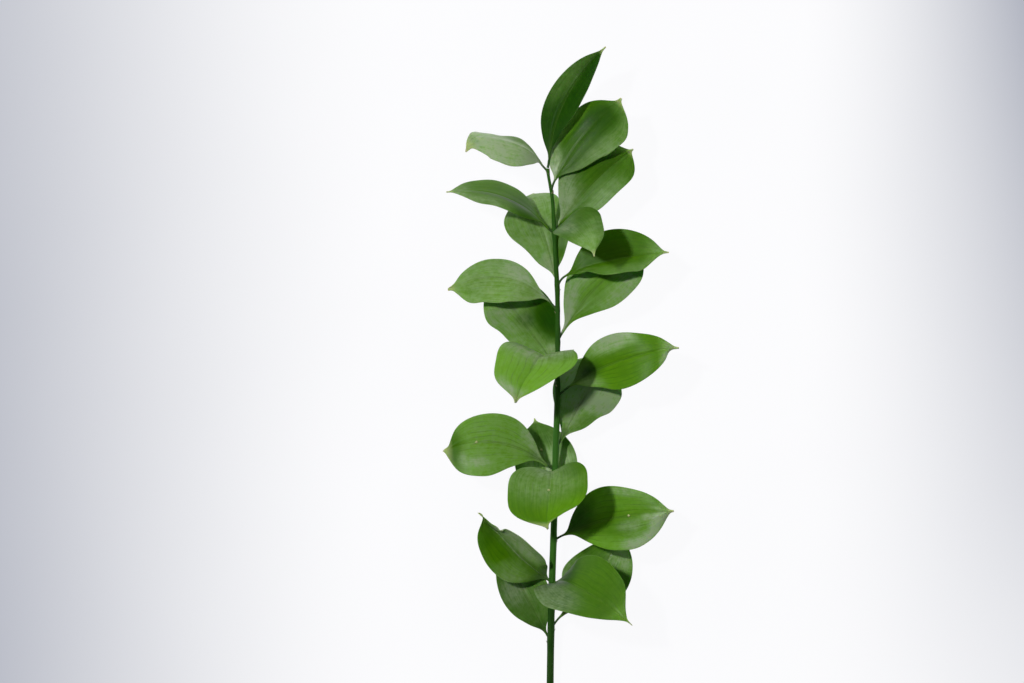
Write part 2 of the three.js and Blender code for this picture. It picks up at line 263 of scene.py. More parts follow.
class Wire:
    """A shader socket that can be added, multiplied and so on, as a number is."""

    def __init__(self, kit: "NodeKit", socket: bpy.types.NodeSocket) -> None:
        self.kit = kit
        self.socket = socket

    def _math(self, operation: str, *values: "Value") -> "Wire":
        """Adds a Math node on up to three values."""
        return self.kit.make("ShaderNodeMath", {"operation": operation},
                             dict(enumerate(values)))[0]

    def __add__(self, other: "Value") -> "Wire":
        """This plus another value."""
        return self._math("ADD", self, other)

    __radd__ = __add__

    def __sub__(self, other: "Value") -> "Wire":
        """This less another value."""
        return self._math("SUBTRACT", self, other)

    def __rsub__(self, other: "Value") -> "Wire":
        """Another value less this."""
        return self._math("SUBTRACT", other, self)

    def __mul__(self, other: "Value") -> "Wire":
        """This times another value."""
        return self._math("MULTIPLY", self, other)

    __rmul__ = __mul__

    def __truediv__(self, other: "Value") -> "Wire":
        """This over another value."""
        return self._math("DIVIDE", self, other)

    def __rtruediv__(self, other: "Value") -> "Wire":
        """Another value over this."""
        return self._math("DIVIDE", other, self)

    def __pow__(self, other: "Value") -> "Wire":
        """This raised to a power."""
        return self._math("POWER", self, other)

    def __abs__(self) -> "Wire":
        """This without its sign."""
        return self._math("ABSOLUTE", self)

    def cosine(self) -> "Wire":
        """The cosine of this, in radians."""
        return self._math("COSINE", self)

    def at_most(self, other: "Value") -> "Wire":
        """The lesser of this and another value."""
        return self._math("MINIMUM", self, other)

    def at_least(self, other: "Value") -> "Wire":
        """The greater of this and another value."""
        return self._math("MAXIMUM", self, other)

    def step(self, low: float, high: float) -> "Wire":
        """A soft step from 0 at `low` to 1 at `high`, or down from 1 where `low` is the higher."""
        if low > high:
            return 1 - self.step(high, low)
        return self.kit.make(
            "ShaderNodeMapRange", {"interpolation_type": "SMOOTHSTEP", "clamp": True},
            {"Value": self, "From Min": low, "From Max": high})["Result"]


Value = Union[float, int, Colour, tuple, Wire]


class Made:
    """A node that was just made, whose outputs are read by name or number."""

    def __init__(self, kit: "NodeKit", node: bpy.types.Node) -> None:
        self.kit = kit
        self.node = node

    def __getitem__(self, key: Union[str, int]) -> Wire:
        """One of the node's outputs, as a wire."""
        return Wire(self.kit, self.node.outputs[key])


class NodeKit:
    """Adds nodes to one node tree."""

    def __init__(self, tree: bpy.types.NodeTree) -> None:
        """Empties the tree and keeps it."""
        self.tree = tree
        tree.nodes.clear()

    def make(self, kind: str, settings: Mapping[str, Any] | None = None,
             inputs: Mapping[Union[str, int], Value] | None = None) -> Made:
        """Adds one node.

        Args:
            kind: The node's type name.
            settings: Its settings by name.
            inputs: Values or wires for its sockets, by name or number.

        Returns:
            The node.
        """
        node = self.tree.nodes.new(kind)
        for name, value in (settings or {}).items():
            setattr(node, name, value)
        for key, value in (inputs or {}).items():
            if isinstance(value, Wire):
                self.tree.links.new(value.socket, node.inputs[key])
            elif isinstance(value, tuple) and node.inputs[key].type == "RGBA":
                node.inputs[key].default_value = (*value, 1)
            else:
                node.inputs[key].default_value = value
        return Made(self, node)

    def blend(self, share: Value, first: Value, second: Value) -> Wire:
        """Mixes two colours.

        Args:
            share: How much of the second there is, from 0 to 1.
            first: The colour at 0.
            second: The colour at 1.

        Returns:
            The mixed colour.
        """
        factor, low, high, result = 0, 6, 7, 2  # the node's sockets for colours
        return self.make("ShaderNodeMix", {"data_type": "RGBA"},
                         {factor: share, low: first, high: second})[result]

    def noise(self, place: Wire, scale: float, detail: float = 2.0, rough: float = 0.5) -> Wire:
        """Soft noise around 0.5.

        Args:
            place: Where it is read.
            scale: How fine it is.
            detail: How many finer layers it has.
            rough: How strong they are.

        Returns:
            The noise value.
        """
        return self.make("ShaderNodeTexNoise", {"noise_dimensions": "3D"},
                         {"Vector": place, "Scale": scale, "Detail": detail,
                          "Roughness": rough})["Fac"]

    def stretched(self, place: Wire, factors: Colour, shift: Value = (0.0, 0.0, 0.0)) -> Wire:
        """A place with each coordinate multiplied, then moved.

        Args:
            place: The place.
            factors: What each coordinate is multiplied by.
            shift: What is added after that.

        Returns:
            The new place.
        """
        return self.make("ShaderNodeVectorMath", {"operation": "MULTIPLY_ADD"},
                         {0: place, 1: factors, 2: shift})["Vector"]

    def spread(self) -> Wire:
        """The place in the piece's UV map."""
        return self.make("ShaderNodeUVMap", {"uv_map": "UVMap"})["UV"]

    def here(self) -> Wire:
        """The place in the piece's own frame, in metres."""
        return self.make("ShaderNodeTexCoord")["Object"]

    def parts(self, place: Wire) -> Made:
        """The X, Y and Z of a place."""
        return self.make("ShaderNodeSeparateXYZ", inputs={"Vector": place})

    def bump(self, height: Wire, strength: float, depth: float) -> Wire:
        """Fine relief.

        Args:
            height: How high the surface stands.
            strength: How strong the relief is, from 0 to 1.
            depth: How deep a height of 1 is, in metres.

        Returns:
            The normal.
        """
        return self.make("ShaderNodeBump", inputs={
            "Height": height, "Strength": strength, "Distance": depth})["Normal"]

    def surface(self, inputs: Mapping[str, Value]) -> None:
        """Puts a principled shader with these inputs on the surface."""
        shader = self.make("ShaderNodeBsdfPrincipled", inputs=inputs)[0]
        self.make("ShaderNodeOutputMaterial", inputs={"Surface": shader})


def new_material(name: str) -> tuple[bpy.types.Material, NodeKit]:
    """An empty material with nodes.

    Args:
        name: The material's name.
    """
    material = bpy.data.materials.new(name)
    material.use_nodes = True
    return material, NodeKit(material.node_tree)


# ---- Finishes ------------------------------------------------------------------------------------


@dataclass(frozen=True)
class BladeMaps:
    """What a leaf's finish reads at a point of the blade.

    Attributes:
        across: Share of the way from the midrib to the margin.
        along: Share of the way from the base to the tip, below 0 on the stalk.
        reach: Distance from the midrib, in millimetres.
        painted_light: Painted light and shade: how bright the green is painted.
        painted_sheen: Painted sheen: how much pale sheen is painted on.
        cloud: Broad soft noise.
        blotch: Noise a few millimetres wide.
        fibre: Lengthwise fibres.
        streak: Finer lengthwise streaks.
        vein: The curved veins, 1 along their middles.
    """

    across: Wire
    along: Wire
    reach: Wire
    painted_light: Wire
    painted_sheen: Wire
    cloud: Wire
    blotch: Wire
    fibre: Wire
    streak: Wire
    vein: Wire


@dataclass(frozen=True)
class LeafFinish:
    """Green skin: painted light, shade and sheen, pale midrib, curved veins, straw-coloured point.

    Attributes:
        name: The material's name.
        deep: The green at the deepest painted shade, also drawn in the veins and the midrib seam.
        fresh: The green at the brightest painted light.
        sheen_paint: The pale colour of the painted sheen.
        rib: The midrib and the streaks beside it.
        base: The pale base of the blade.
        stalk: The stalk.
        tip: The end of the blade.
        point: Its very point.
        margin: The rim.
        roughness: Roughness of the skin without its grain.
        veins: How many veins each half has.
        vein_depth: How deep the veins lie, below 0 where they stand out.
        glow: How much light passes through.
    """

    name: str
    deep: Colour
    fresh: Colour
    sheen_paint: Colour = (0.30, 0.40, 0.21)
    rib: Colour = (0.15, 0.28, 0.05)
    base: Colour = (0.085, 0.19, 0.025)
    stalk: Colour = (0.032, 0.080, 0.022)
    tip: Colour = (0.40, 0.50, 0.18)
    point: Colour = (0.52, 0.54, 0.27)
    margin: Colour = (0.13, 0.26, 0.04)
    roughness: float = 0.38
    veins: int = 6
    vein_depth: float = 0.12
    glow: float = 0.2

    CLOUD_SCALE = 70
    BLOTCH_SCALE = 260
    FIBRE_STRETCH = (46.0, 2.6, 1.0)
    STREAK_STRETCH = (150.0, 7.0, 1.0)
    STREAK_SHIFT = (3.0, 0.0, 0.0)
    WANDER_STRETCH = (3.0, 4.0, 1.0)
    VEIN_WANDER = 1.5
    VEIN_SHARPNESS = 14
    RELIEF = 0.0006
    GLOW_REACH = 0.0016
    GLOW_COLOUR = (0.5, 1.0, 0.12)
    # Bands from none to all: shares of the blade's length or half width ...
    BASE_BAND = (0.3, -0.02)
    STALK_BAND = (0.01, -0.04)
    OPEN_BAND = (0.02, 0.12)
    TIP_BAND = (0.92, 0.98)
    POINT_BAND = (0.98, 0.996)
    RIM_BAND = (0.965, 0.998)
    # ... and millimetres from the midrib.
    HALO_BAND = (1.4, 0.4)
    RIB_BAND = (0.6, 0.1)
    SEAM_BAND = (0.34, 0.1)

    def material(self) -> bpy.types.Material:
        """Builds the material.

        Returns:
            The material.
        """
        material, kit = new_material(self.name)
        maps = self._read(kit)
        sheen_paint = self._sheen_paint(maps)
        relief = (maps.vein * -self.vein_depth + maps.fibre * 0.14 + maps.streak * 0.05
                  + maps.blotch * 0.05 + maps.reach.step(*self.RIB_BAND) * -0.2)
        # The clear coat's gloss follows the painted sheen.
        kit.surface({
            "Base Color": self._colour(kit, maps, sheen_paint),
            "Roughness": self.roughness + maps.fibre * 0.10 + maps.blotch * 0.08 - 0.07,
            "Normal": kit.bump(relief, 0.3, self.RELIEF), "IOR": 1.45,
            "Subsurface Weight": self.glow, "Subsurface Radius": self.GLOW_COLOUR,
            "Subsurface Scale": self.GLOW_REACH, "Specular IOR Level": 0.12,
            "Coat Weight": sheen_paint * 0.4, "Coat Roughness": 0.35, "Coat IOR": 1.4})
        return material

    def _read(self, kit: NodeKit) -> BladeMaps:
        """Reads a blade's maps and draws its noises and veins.


        Returns:
            The maps.
        """
        spread = kit.spread()
        parts = kit.parts(spread)
        across = abs(parts["X"] * 2 - 1)
        along = (parts["Y"] - LeafBlank.STALK_SHARE) / (1 - LeafBlank.STALK_SHARE)
        reach, painted_light, painted_sheen = (kit.make("ShaderNodeAttribute", {"attribute_name": name})["Fac"]
                              for name in ("reach", "painted_light", "painted_sheen"))
        here = kit.here()
        cloud = kit.noise(here, self.CLOUD_SCALE, 3, 0.6)
        blotch = kit.noise(here, self.BLOTCH_SCALE, 3, 0.65)
        fibre = kit.noise(kit.stretched(spread, self.FIBRE_STRETCH), 1.0, 3, 0.6)
        streak = kit.noise(kit.stretched(spread, self.STREAK_STRETCH, self.STREAK_SHIFT), 1.0, 2)
        wander = kit.noise(kit.stretched(spread, self.WANDER_STRETCH), 1.0, 1)
        # The veins keep their share of the way from the midrib to the margin.
        turn = (across * self.veins + wander * self.VEIN_WANDER) * math.tau
        wave = turn.cosine() * 0.5 + 0.5
        fade = across.step(1.0, 0.7) * along.step(*self.OPEN_BAND) * along.step(0.98, 0.75)
        vein = wave ** self.VEIN_SHARPNESS * fade * cloud.step(0.35, 0.65)
        return BladeMaps(across, along, reach, painted_light, painted_sheen, cloud, blotch, fibre, streak, vein)

    def _sheen_paint(self, maps: BladeMaps) -> Wire:
        """How much painted sheen there is, mottled, from 0 to 1."""
        sheen_mottle = maps.blotch.step(0.32, 0.68) * 0.7 + maps.fibre.step(0.3, 0.7) * 0.6
        return (maps.painted_sheen * (0.35 + sheen_mottle)).at_least(0.0).at_most(1.0)

    def _colour(self, kit: NodeKit, maps: BladeMaps, sheen_paint: Wire) -> Wire:
        """Lays the leaf's colours over each other, from the flesh to the point.

        Args:
            maps: The blade's maps.
            sheen_paint: How much painted sheen there is.

        Returns:
            The colour.
        """
        across, along, painted_light, fibre = maps.across, maps.along, maps.painted_light, maps.fibre
        mottle = (maps.cloud - 0.5) * 0.8 + (fibre - 0.5) * 0.8 + (maps.blotch - 0.5) * 0.5
        pale_base = along.step(*self.BASE_BAND) * (fibre * 0.9 + 0.1) * across.step(1.0, 0.3)
        rim = across.step(*self.RIM_BAND) * along.step(*self.OPEN_BAND)
        halo = maps.reach.step(*self.HALO_BAND) * along.step(0.95, 0.3)
        seam = (maps.reach.step(*self.SEAM_BAND) * along.step(0.9, 0.2)
                * maps.cloud.step(0.25, 0.6))
        # Painted light and shade: the green goes from deep to fresh as painted_light rises.
        colour = kit.blend(painted_light + mottle * (painted_light * 0.5 + 0.12), self.deep, self.fresh)
        for share, layer in (
                (maps.vein * (painted_light * 0.35 + 0.15), self.deep),
                (maps.streak.step(0.5, 0.8) * 0.07, self.rib),
                (pale_base * 0.3, self.base),
                (rim * 0.3, self.margin),
                # Painted sheen.
                (sheen_paint, self.sheen_paint),
                (halo * (0.1 + maps.streak * 0.12), self.rib),
                (seam * 0.4, self.deep),
                (along.step(*self.TIP_BAND) * 0.9, self.tip),
                (along.step(*self.POINT_BAND), self.point),
                (along.step(*self.STALK_BAND) * 0.85, self.stalk)):
            colour = kit.blend(share, colour, layer)
        return colour


@dataclass(frozen=True)
class StemFinish:
    """Green rind with fine lengthwise ridges and painted light over its middle stretch.

    Attributes:
        name: The material's name.
        core: The green between the ridges.
        light: The green on the ridges.
        foot: The browner foot.
        young: The fresher top.
        bright: Painted light over the middle stretch, which the leaves shade.
    """

    name: str = "stem_rind"
    core: Colour = (0.010, 0.050, 0.004)
    light: Colour = (0.036, 0.120, 0.012)
    foot: Colour = (0.040, 0.060, 0.014)
    young: Colour = (0.036, 0.150, 0.006)
    bright: Colour = (0.052, 0.190, 0.018)

    # Where the colours change along the stem, in metres: from none to all of each.
    FOOT = (-0.12, -0.25)
    YOUNG = (0.0, 0.12)
    PAINTED_LIGHT_FROM_TOP = (0.035, 0.0)
    PAINTED_LIGHT_FROM_FOOT = (-0.115, -0.09)

    def material(self) -> bpy.types.Material:
        """Builds the material.

        Returns:
            The material.
        """
        material, kit = new_material(self.name)
        spread = kit.spread()
        here = kit.here()
        height = kit.parts(here)["Y"]
        ridge = kit.noise(kit.stretched(spread, (60.0, 9.0, 1.0)), 1.0, 3, 0.6)
        grain = kit.noise(kit.stretched(spread, (170.0, 40.0, 1.0)), 1.0, 2)
        patch = kit.noise(here, 90, 3, 0.6)
        # Painted light: the middle stretch, which the leaves shade, is painted brighter.
        bright = height.step(*self.PAINTED_LIGHT_FROM_TOP) * height.step(*self.PAINTED_LIGHT_FROM_FOOT)
        colour = kit.blend((ridge * 0.8 + patch * 0.4 - 0.1).step(0.25, 0.8), self.core, self.light)
        for share, layer in (
                (height.step(*self.FOOT) * patch.step(0.35, 0.7) * 0.7, self.foot),
                (height.step(*self.YOUNG) * 0.4, self.young),
                (bright * 0.7, self.bright)):
            colour = kit.blend(share, colour, layer)
        kit.surface({
            "Base Color": colour, "Roughness": 0.46 + grain * 0.16,
            "Normal": kit.bump(ridge * 0.7 + grain * 0.2, 0.6, 0.0004),
            "Specular IOR Level": 0.12})
        return material


@dataclass(frozen=True)
class PithFinish:
    """Moist, cream pith of the fresh cut, speckled with its bundles of fibres.

    Attributes:
        name: The material's name.
        pale: The cream of the pith.
        speck: The bundles.
    """

    name: str = "stem_pith"
    pale: Colour = (0.50, 0.50, 0.26)
    speck: Colour = (0.22, 0.27, 0.09)

    def material(self) -> bpy.types.Material:
        """Builds the material.

        Returns:
            The material.
        """
        material, kit = new_material(self.name)
        here = kit.here()
        bundle = kit.make("ShaderNodeTexVoronoi", {"feature": "F1"},
                          {"Vector": here, "Scale": 2600.0})["Distance"]
        patch = kit.noise(here, 900, 3)
        colour = kit.blend(bundle.step(0.36, 0.12) * 0.7 + patch * 0.2, self.pale, self.speck)
        kit.surface({"Base Color": colour, "Roughness": 0.5 + patch * 0.2,
                     "Normal": kit.bump(bundle + patch * 0.5, 0.5, 0.0002)})
        return material


@dataclass(frozen=True)
class PaperyFinish:
    """Thin dry scale or bud, with fine lengthwise fibres.

    Attributes:
        name: The material's name.
        pale: Its colour on the fibres.
        dark: Its colour between them.
        roughness: Its roughness without its grain.
    """

    name: str
    pale: Colour
    dark: Colour
    roughness: float = 0.6

    def material(self) -> bpy.types.Material:
        """Builds the material.

        Returns:
            The material.
        """
        material, kit = new_material(self.name)
        spread = kit.spread()
        here = kit.here()
        fibre = kit.noise(kit.stretched(spread, (22.0, 2.0, 1.0)), 1.0, 3)
        patch = kit.noise(here, 500, 2)
        colour = kit.blend((fibre * 0.8 + patch * 0.3).step(0.35, 0.8), self.dark, self.pale)
        kit.surface({"Base Color": colour, "Roughness": self.roughness + fibre * 0.15 - 0.07,
                     "Normal": kit.bump(fibre, 0.5, 0.0002)})
        return material


# ---- Stem ----------------------------------------------------------------------------------------


@dataclass
class Stem:
    """The main shoot: a slender tapering rod, swollen a little at each node, with a slanted cut.

    Attributes:
        foot_y: Where the middle of the cut is along Y.
        foot_height: How high it is.
        slope: How much the stem rises along its length.
        top: Its length.
        cut_slant: How much the cut leans, as a slope.
        swelling: How much thicker the stem is at a node.
        swelling_reach: How far the swelling reaches up and down.
        sides: How many sides the rod has.
        ring_step: The distance from ring to ring.
        ridge: Height of the ridges, as a share of the radius.
        ridges: How many ridges there are.
        rind: Thickness of the rind where it is cut.
        line: How far sideways the middle is at each height.
        taper: The radius at each height.
        nodes: The height of each node and the way its leaf faces.
    """

    foot_y: float = -250.0
    foot_height: float = 2.0
    slope: float = 0.1
    top: float = 421.0
    cut_slant: float = 0.55
    swelling: float = 0.3
    swelling_reach: float = 4.0
    sides: int = 40
    ring_step: float = 2.0
    ridge: float = 0.035
    ridges: int = 9
    rind: float = 0.28
    line: tuple[Pair, ...] = (
        (0, -6.9), (60, -6.8), (110, -6.3), (150, -5.5), (185, -4.4), (232, -3.3), (270, -2.3),
        (305, -2.0), (340, -2.3), (361, -3.4), (391, -4.9), (401, -5.6), (408, -6.6), (415, -8.0),
        (421, -8.7))
    taper: tuple[Pair, ...] = (
        (0, 2.35), (110, 2.3), (185, 2.15), (262, 1.95), (300, 1.6), (360, 1.5), (391, 1.3),
        (408, 1.05), (421, 0.9))
    nodes: list[Pair] = field(default_factory=list)

    # The share of a swelling that goes all round, and the share on the leaf's side only.
    SWELLING_ROUND, SWELLING_FACING = 0.35, 0.65
    # Insets and depths on the rod of radius 1: the sunken pith and the rounded top.
    PITH_STEPS = ((0.12, -0.12), (0.35, -0.05))
    TOP_STEPS = ((0.25, 0.25), (0.4, 0.12))
    END_FACING = 0.9  # how squarely a face looks along the rod to count as its end

    def __post_init__(self) -> None:
        """Reads the middle line and the taper as smooth curves."""
        self._sideways = smooth(self.line)
        self._radius = smooth(self.taper)

    def centre(self, height: float) -> Point:
        """The middle of the stem at a height above the cut end."""
        return np.array([float(self._sideways(height)), self.foot_y + height,
                         self.foot_height + self.slope * height])

    def radius(self, height: float) -> float:
        """The stem's radius at a height, without its nodes."""
        return float(self._radius(height))

    def skin(self, height: float, turn: float) -> float:
        """The radius of the skin.

        Args:
            height: Height above the cut end.
            turn: Angle around the stem, in radians from +X over +Z.

        Returns:
            The radius there, with ridges and node swellings.
        """
        radius = self.radius(height) * (1 + self.ridge * math.cos(self.ridges * turn))
        for node, around in self.nodes:
            near = max(0.0, 1 - abs(height - node) / self.swelling_reach)
            if near:
                facing = 0.5 + 0.5 * math.cos(turn - math.radians(around))
                share = self.SWELLING_ROUND + self.SWELLING_FACING * facing
                radius += self.swelling * near * near * (3 - 2 * near) * share
        return radius

    def build(self, rind: bpy.types.Material, pith: bpy.types.Material) -> None:
        """Models the stem.

        Args:
            rind: The material of its skin.
            pith: The material of the cut.
        """
        rings = int(self.top / self.ring_step)
        bpy.ops.mesh.primitive_cylinder_add(vertices=self.sides, radius=1, depth=self.top,
                                            location=(0, 0, self.top / 2), end_fill_type="NGON")
        rod = Bench.start("ruscus_stem")
        Bench.take(rod)
        bpy.ops.object.transform_apply(location=True, rotation=True, scale=True)
        Bench.edit(rod, "EDGE")
        Bench.done()
        ends = Bench.points(rod)
        for edge in rod.data.edges:
            low, high = (ends[v, 2] for v in edge.vertices)
            edge.select = bool(abs(low - high) > self.top / 2)
        bpy.ops.object.mode_set(mode="EDIT")
        bpy.ops.mesh.subdivide(number_cuts=rings - 1)
        bpy.ops.mesh.select_mode(type="FACE")
        rod.data.materials.append(rind)
        rod.data.materials.append(pith)
        # The cut shows a rim of rind round the pith; the top is drawn in under the last leaf.
        Bench.pick_faces(rod, lambda face: face.normal.z < -self.END_FACING)
        bpy.ops.mesh.inset(thickness=self.rind / self.radius(0), depth=0)
        rod.active_material_index = 1
        bpy.ops.object.material_slot_assign()
        self._step_in(self.PITH_STEPS)
        Bench.pick_faces(rod, lambda face: face.normal.z > self.END_FACING)
        self._step_in(self.TOP_STEPS)
        Bench.done()
        Bench.place(rod, np.array([self._bent(point) for point in Bench.points(rod)]) * MM)
        Bench.edit(rod)
        bpy.ops.mesh.select_all(action="SELECT")
        bpy.ops.mesh.normals_make_consistent(inside=False)
        Bench.done()
        Bench.dress(rod, Slot.STEM, ["stem"])

    @staticmethod
    def _step_in(steps: Sequence[Pair]) -> None:
        """Insets the picked end step by step and closes it at its middle.

        Args:
            steps: How far in and how far out each step goes.
        """
        for thickness, depth in steps:
            bpy.ops.mesh.inset(thickness=thickness, depth=depth)
        bpy.ops.mesh.poke()

    def _bent(self, point: Point) -> Point:
        """Moves a point of the straight rod of radius 1 to its place on the bent stem.

        Args:
            point: A point of the rod, which stands along Z.

        Returns:
            Its place on the stem.
        """
        share = math.hypot(point[0], point[1])
        turn = math.atan2(point[1], point[0])
        height = min(max(point[2], 0.0), self.top)
        radius = share * self.skin(height, turn)
        out = np.array([math.cos(turn) * radius, 0.0, math.sin(turn) * radius])
        out[1] = point[2] - height
        near_cut = max(0.0, 1 - height / (2 * self.ring_step))
        out[1] += self.cut_slant * out[2] * near_cut
        return self.centre(height) + out


# ---- Leaves --------------------------------------------------------------------------------------

OUTLINE = smooth(((0, 0.04), (0.06, 0.13), (0.16, 0.5), (0.3, 0.88), (0.44, 1), (0.6, 0.94),
                  (0.75, 0.72), (0.85, 0.46), (0.91, 0.22), (0.945, 0.09), (0.965, 0.045),
                  (1, 0.012)))
BLUNT_OUTLINE = smooth(((0, 0.04), (0.06, 0.14), (0.16, 0.52), (0.3, 0.88), (0.44, 1),
                        (0.62, 0.98), (0.78, 0.87), (0.87, 0.66), (0.925, 0.36), (0.955, 0.12),
                        (0.972, 0.05), (1, 0.012)))
WIDEST = 0.44


@dataclass(frozen=True)
class Spot:
    """A soft-edged spot on a blade.

    Attributes:
        along: Share of the way along the midrib where it is strongest.
        across: Share of the way across the blade, from -1 to 1, where it is strongest.
        reach: How far it reaches along and across, as shares.
    """

    along: float
    across: float
    reach: Pair

    def far(self, u: float, v: float) -> float:
        """The square of how far off a place is: 0 at the middle, 1 at the reach."""
        return ((u - self.along) / self.reach[0]) ** 2 + ((v - self.across) / self.reach[1]) ** 2


@dataclass(frozen=True)
class Pull(Spot):
    """A local pull on a blade, as a thumb would give it.

    Attributes:
        move: How far the blade moves there, in X, Y and Z.
    """

    move: tuple[float, float, float]

    def at(self, u: float, v: float) -> Point:
        """How far it moves the blade at a share along and a share across."""
        return np.array(self.move) * math.exp(-self.far(u, v))


@dataclass(frozen=True)
class Patch(Spot):
    """A soft-edged patch of painted light, shade and sheen on a blade.

    Attributes:
        painted_light: How much painted light there is, or painted shade below 0.
        painted_sheen: How much more painted sheen there is, or less below 0.
    """

    painted_light: float = 0.0
    painted_sheen: float = 0.0

    def at(self, u: float, v: float) -> Point:
        """What it adds to the painted light and sheen at a share along and a share across."""
        far = self.far(u, v)
        return np.array((self.painted_light, self.painted_sheen)) * math.exp(-far * far)


def lift(height: float, along: float = 1.0, reach: float = 0.5) -> Pull:
    """A pull that raises the whole width of a blade, or lowers it below 0.

    Args:
        height: How far it raises the blade.
        along: Share of the way along the midrib where it is strongest.
        reach: How far it reaches along the midrib, as a share.

    Returns:
        The pull.
    """
    return Pull(along, 0, (reach, 3), (0, 0, height))


def nudge(reach: float, x: float, y: float) -> Pull:
    """A sideways pull on the point of a blade.

    Args:
        reach: How far it reaches along the midrib, as a share.
        x: How far it moves the point in X.
        y: How far it moves the point in Y.

    Returns:
        The pull.
    """
    return Pull(1, 0, (reach, 2), (x, y, 0))


@dataclass(frozen=True)
class LeafShape:
    """How one leaf grows.

    Attributes:
        node: Height of its node above the cut end.
        stalk: (around, rise, length) of its stalk.
        blade: (around, rise, length) of its blade's chord.
        half: Half width to the left and to the right of the midrib.
        roll: Turn of the blade about its chord; 0 faces the stem's tip.
        bend: How far the midrib turns over from base to tip.
        sweep: Sideways bow of the midrib, to the right.
        fold: Slope of each half at the midrib.
        curl: How much each half's slope grows by the margin.
        widest: Where along its length each half is widest.
        blunt: How broad and blunt the end of each half is.
        hook: How far the last part of the tip turns down.
        bud: Place of a flower bud on the midrib, if it has one.
        painted_light: Painted light and shade on it: how bright its green is, from 0 to 1.
        painted_sheen: How much pale sheen is painted on it, from 0 to 1.
        ripple: Height of the slow waves along each margin.
        phase: Where those waves start.
        pulls: Local pulls on the blade.
        patches: Patches of painted light, shade and sheen.
    """

    node: float
    stalk: tuple[float, float, float]
    blade: tuple[float, float, float]
    half: Pair
    roll: float
    bend: float
    sweep: float = 0.0
    fold: Pair = (0.0, 0.0)
    curl: Pair = (0.0, 0.0)
    widest: Pair = (WIDEST, WIDEST)
    blunt: Pair = (0.0, 0.0)
    hook: float = 0.0
    bud: float | None = None
    painted_light: float = 0.5
    painted_sheen: float = 0.0
    ripple: float = 0.35
    phase: float = 0.0
    pulls: tuple[Pull, ...] = ()
    patches: tuple[Patch, ...] = ()

    HOOK_START = 0.82  # where the last part of the tip begins
    LEAST_BEND = 0.5  # a straight midrib is modelled with this bend, in degrees
    LEAST_HALF = 0.3  # half width of the thinnest point
    LEAST_SHARE = 0.02  # the same, as a share of the greatest half width
    STEP = 0.01  # the step along the midrib by which its direction is measured

    def chord(self) -> tuple[Point, Point, Point]:
        """Sets up the blade's frame at its chord.

        Returns:
            The ways along the blade, up off its face, and to its right.
        """
        along = direction(*self.blade[:2])
        up = turned(square(np.array([0.0, 1.0, 0.0]), along), along, self.roll)
        return along, up, np.cross(along, up)

    def base(self, stem: Stem) -> Point:
        """Where the blade starts, at the end of the stalk."""
        return stem.centre(self.node) + direction(*self.stalk[:2]) * self.stalk[2]

    def midrib(self, stem: Stem, u: float) -> Point:
        """A point on the midrib.

        Args:
            stem: The stem that carries the leaf.
            u: Share of the way from the base to the tip.

        Returns:
            The point.
        """
        along, up, right = self.chord()
        turn = math.radians(max(abs(self.bend), self.LEAST_BEND))
        start, here = turn / 2, turn * (0.5 - u)
        past = max(0.0, (u - self.HOOK_START) / (1 - self.HOOK_START))
        run = self.blade[2] / turn
        return (self.base(stem) + along * run * (math.sin(start) - math.sin(here))
                + up * (run * (math.cos(here) - math.cos(start)) - self.hook * past * past)
                + right * self.sweep * 4 * u * (1 - u))

    def frame_at(self, stem: Stem, u: float) -> tuple[Point, Point, Point]:
        """Sets up the blade's frame at a place along the midrib.

        Args:
            stem: The stem that carries the leaf.
            u: Share of the way from the base to the tip.

        Returns:
            The ways along the midrib, up off the blade's face, and to its right.
        """
        along = unit(self.midrib(stem, u + self.STEP) - self.midrib(stem, u - self.STEP))
        up = square(self.chord()[1], along)
        return along, up, np.cross(along, up)

    def half_width(self, u: float, side: Side) -> float:
        """Half width of the blade at a place along the midrib.

        Args:
            u: Share of the way from the base to the tip.
            side: The half that is measured.

        Returns:
            The half width to that side.
        """
        i = side.value
        place = u ** (math.log(WIDEST) / math.log(self.widest[i]))
        plain, broad = float(OUTLINE(place)), float(BLUNT_OUTLINE(place))
        share = max(plain + (broad - plain) * self.blunt[i], self.LEAST_SHARE)
        return max(self.half[i] * share, self.LEAST_HALF)

    def pulled(self, u: float, v: float) -> Point:
        """How far the pulls move the blade at a share along and a share across."""
        return sum((pull.at(u, v) for pull in self.pulls), np.zeros(3))

    def shade(self, u: float, v: float) -> Point:
        """The painted light and the painted sheen at a share along and a share across."""
        return sum((patch.at(u, v) for patch in self.patches), np.array((self.painted_light, self.painted_sheen)))


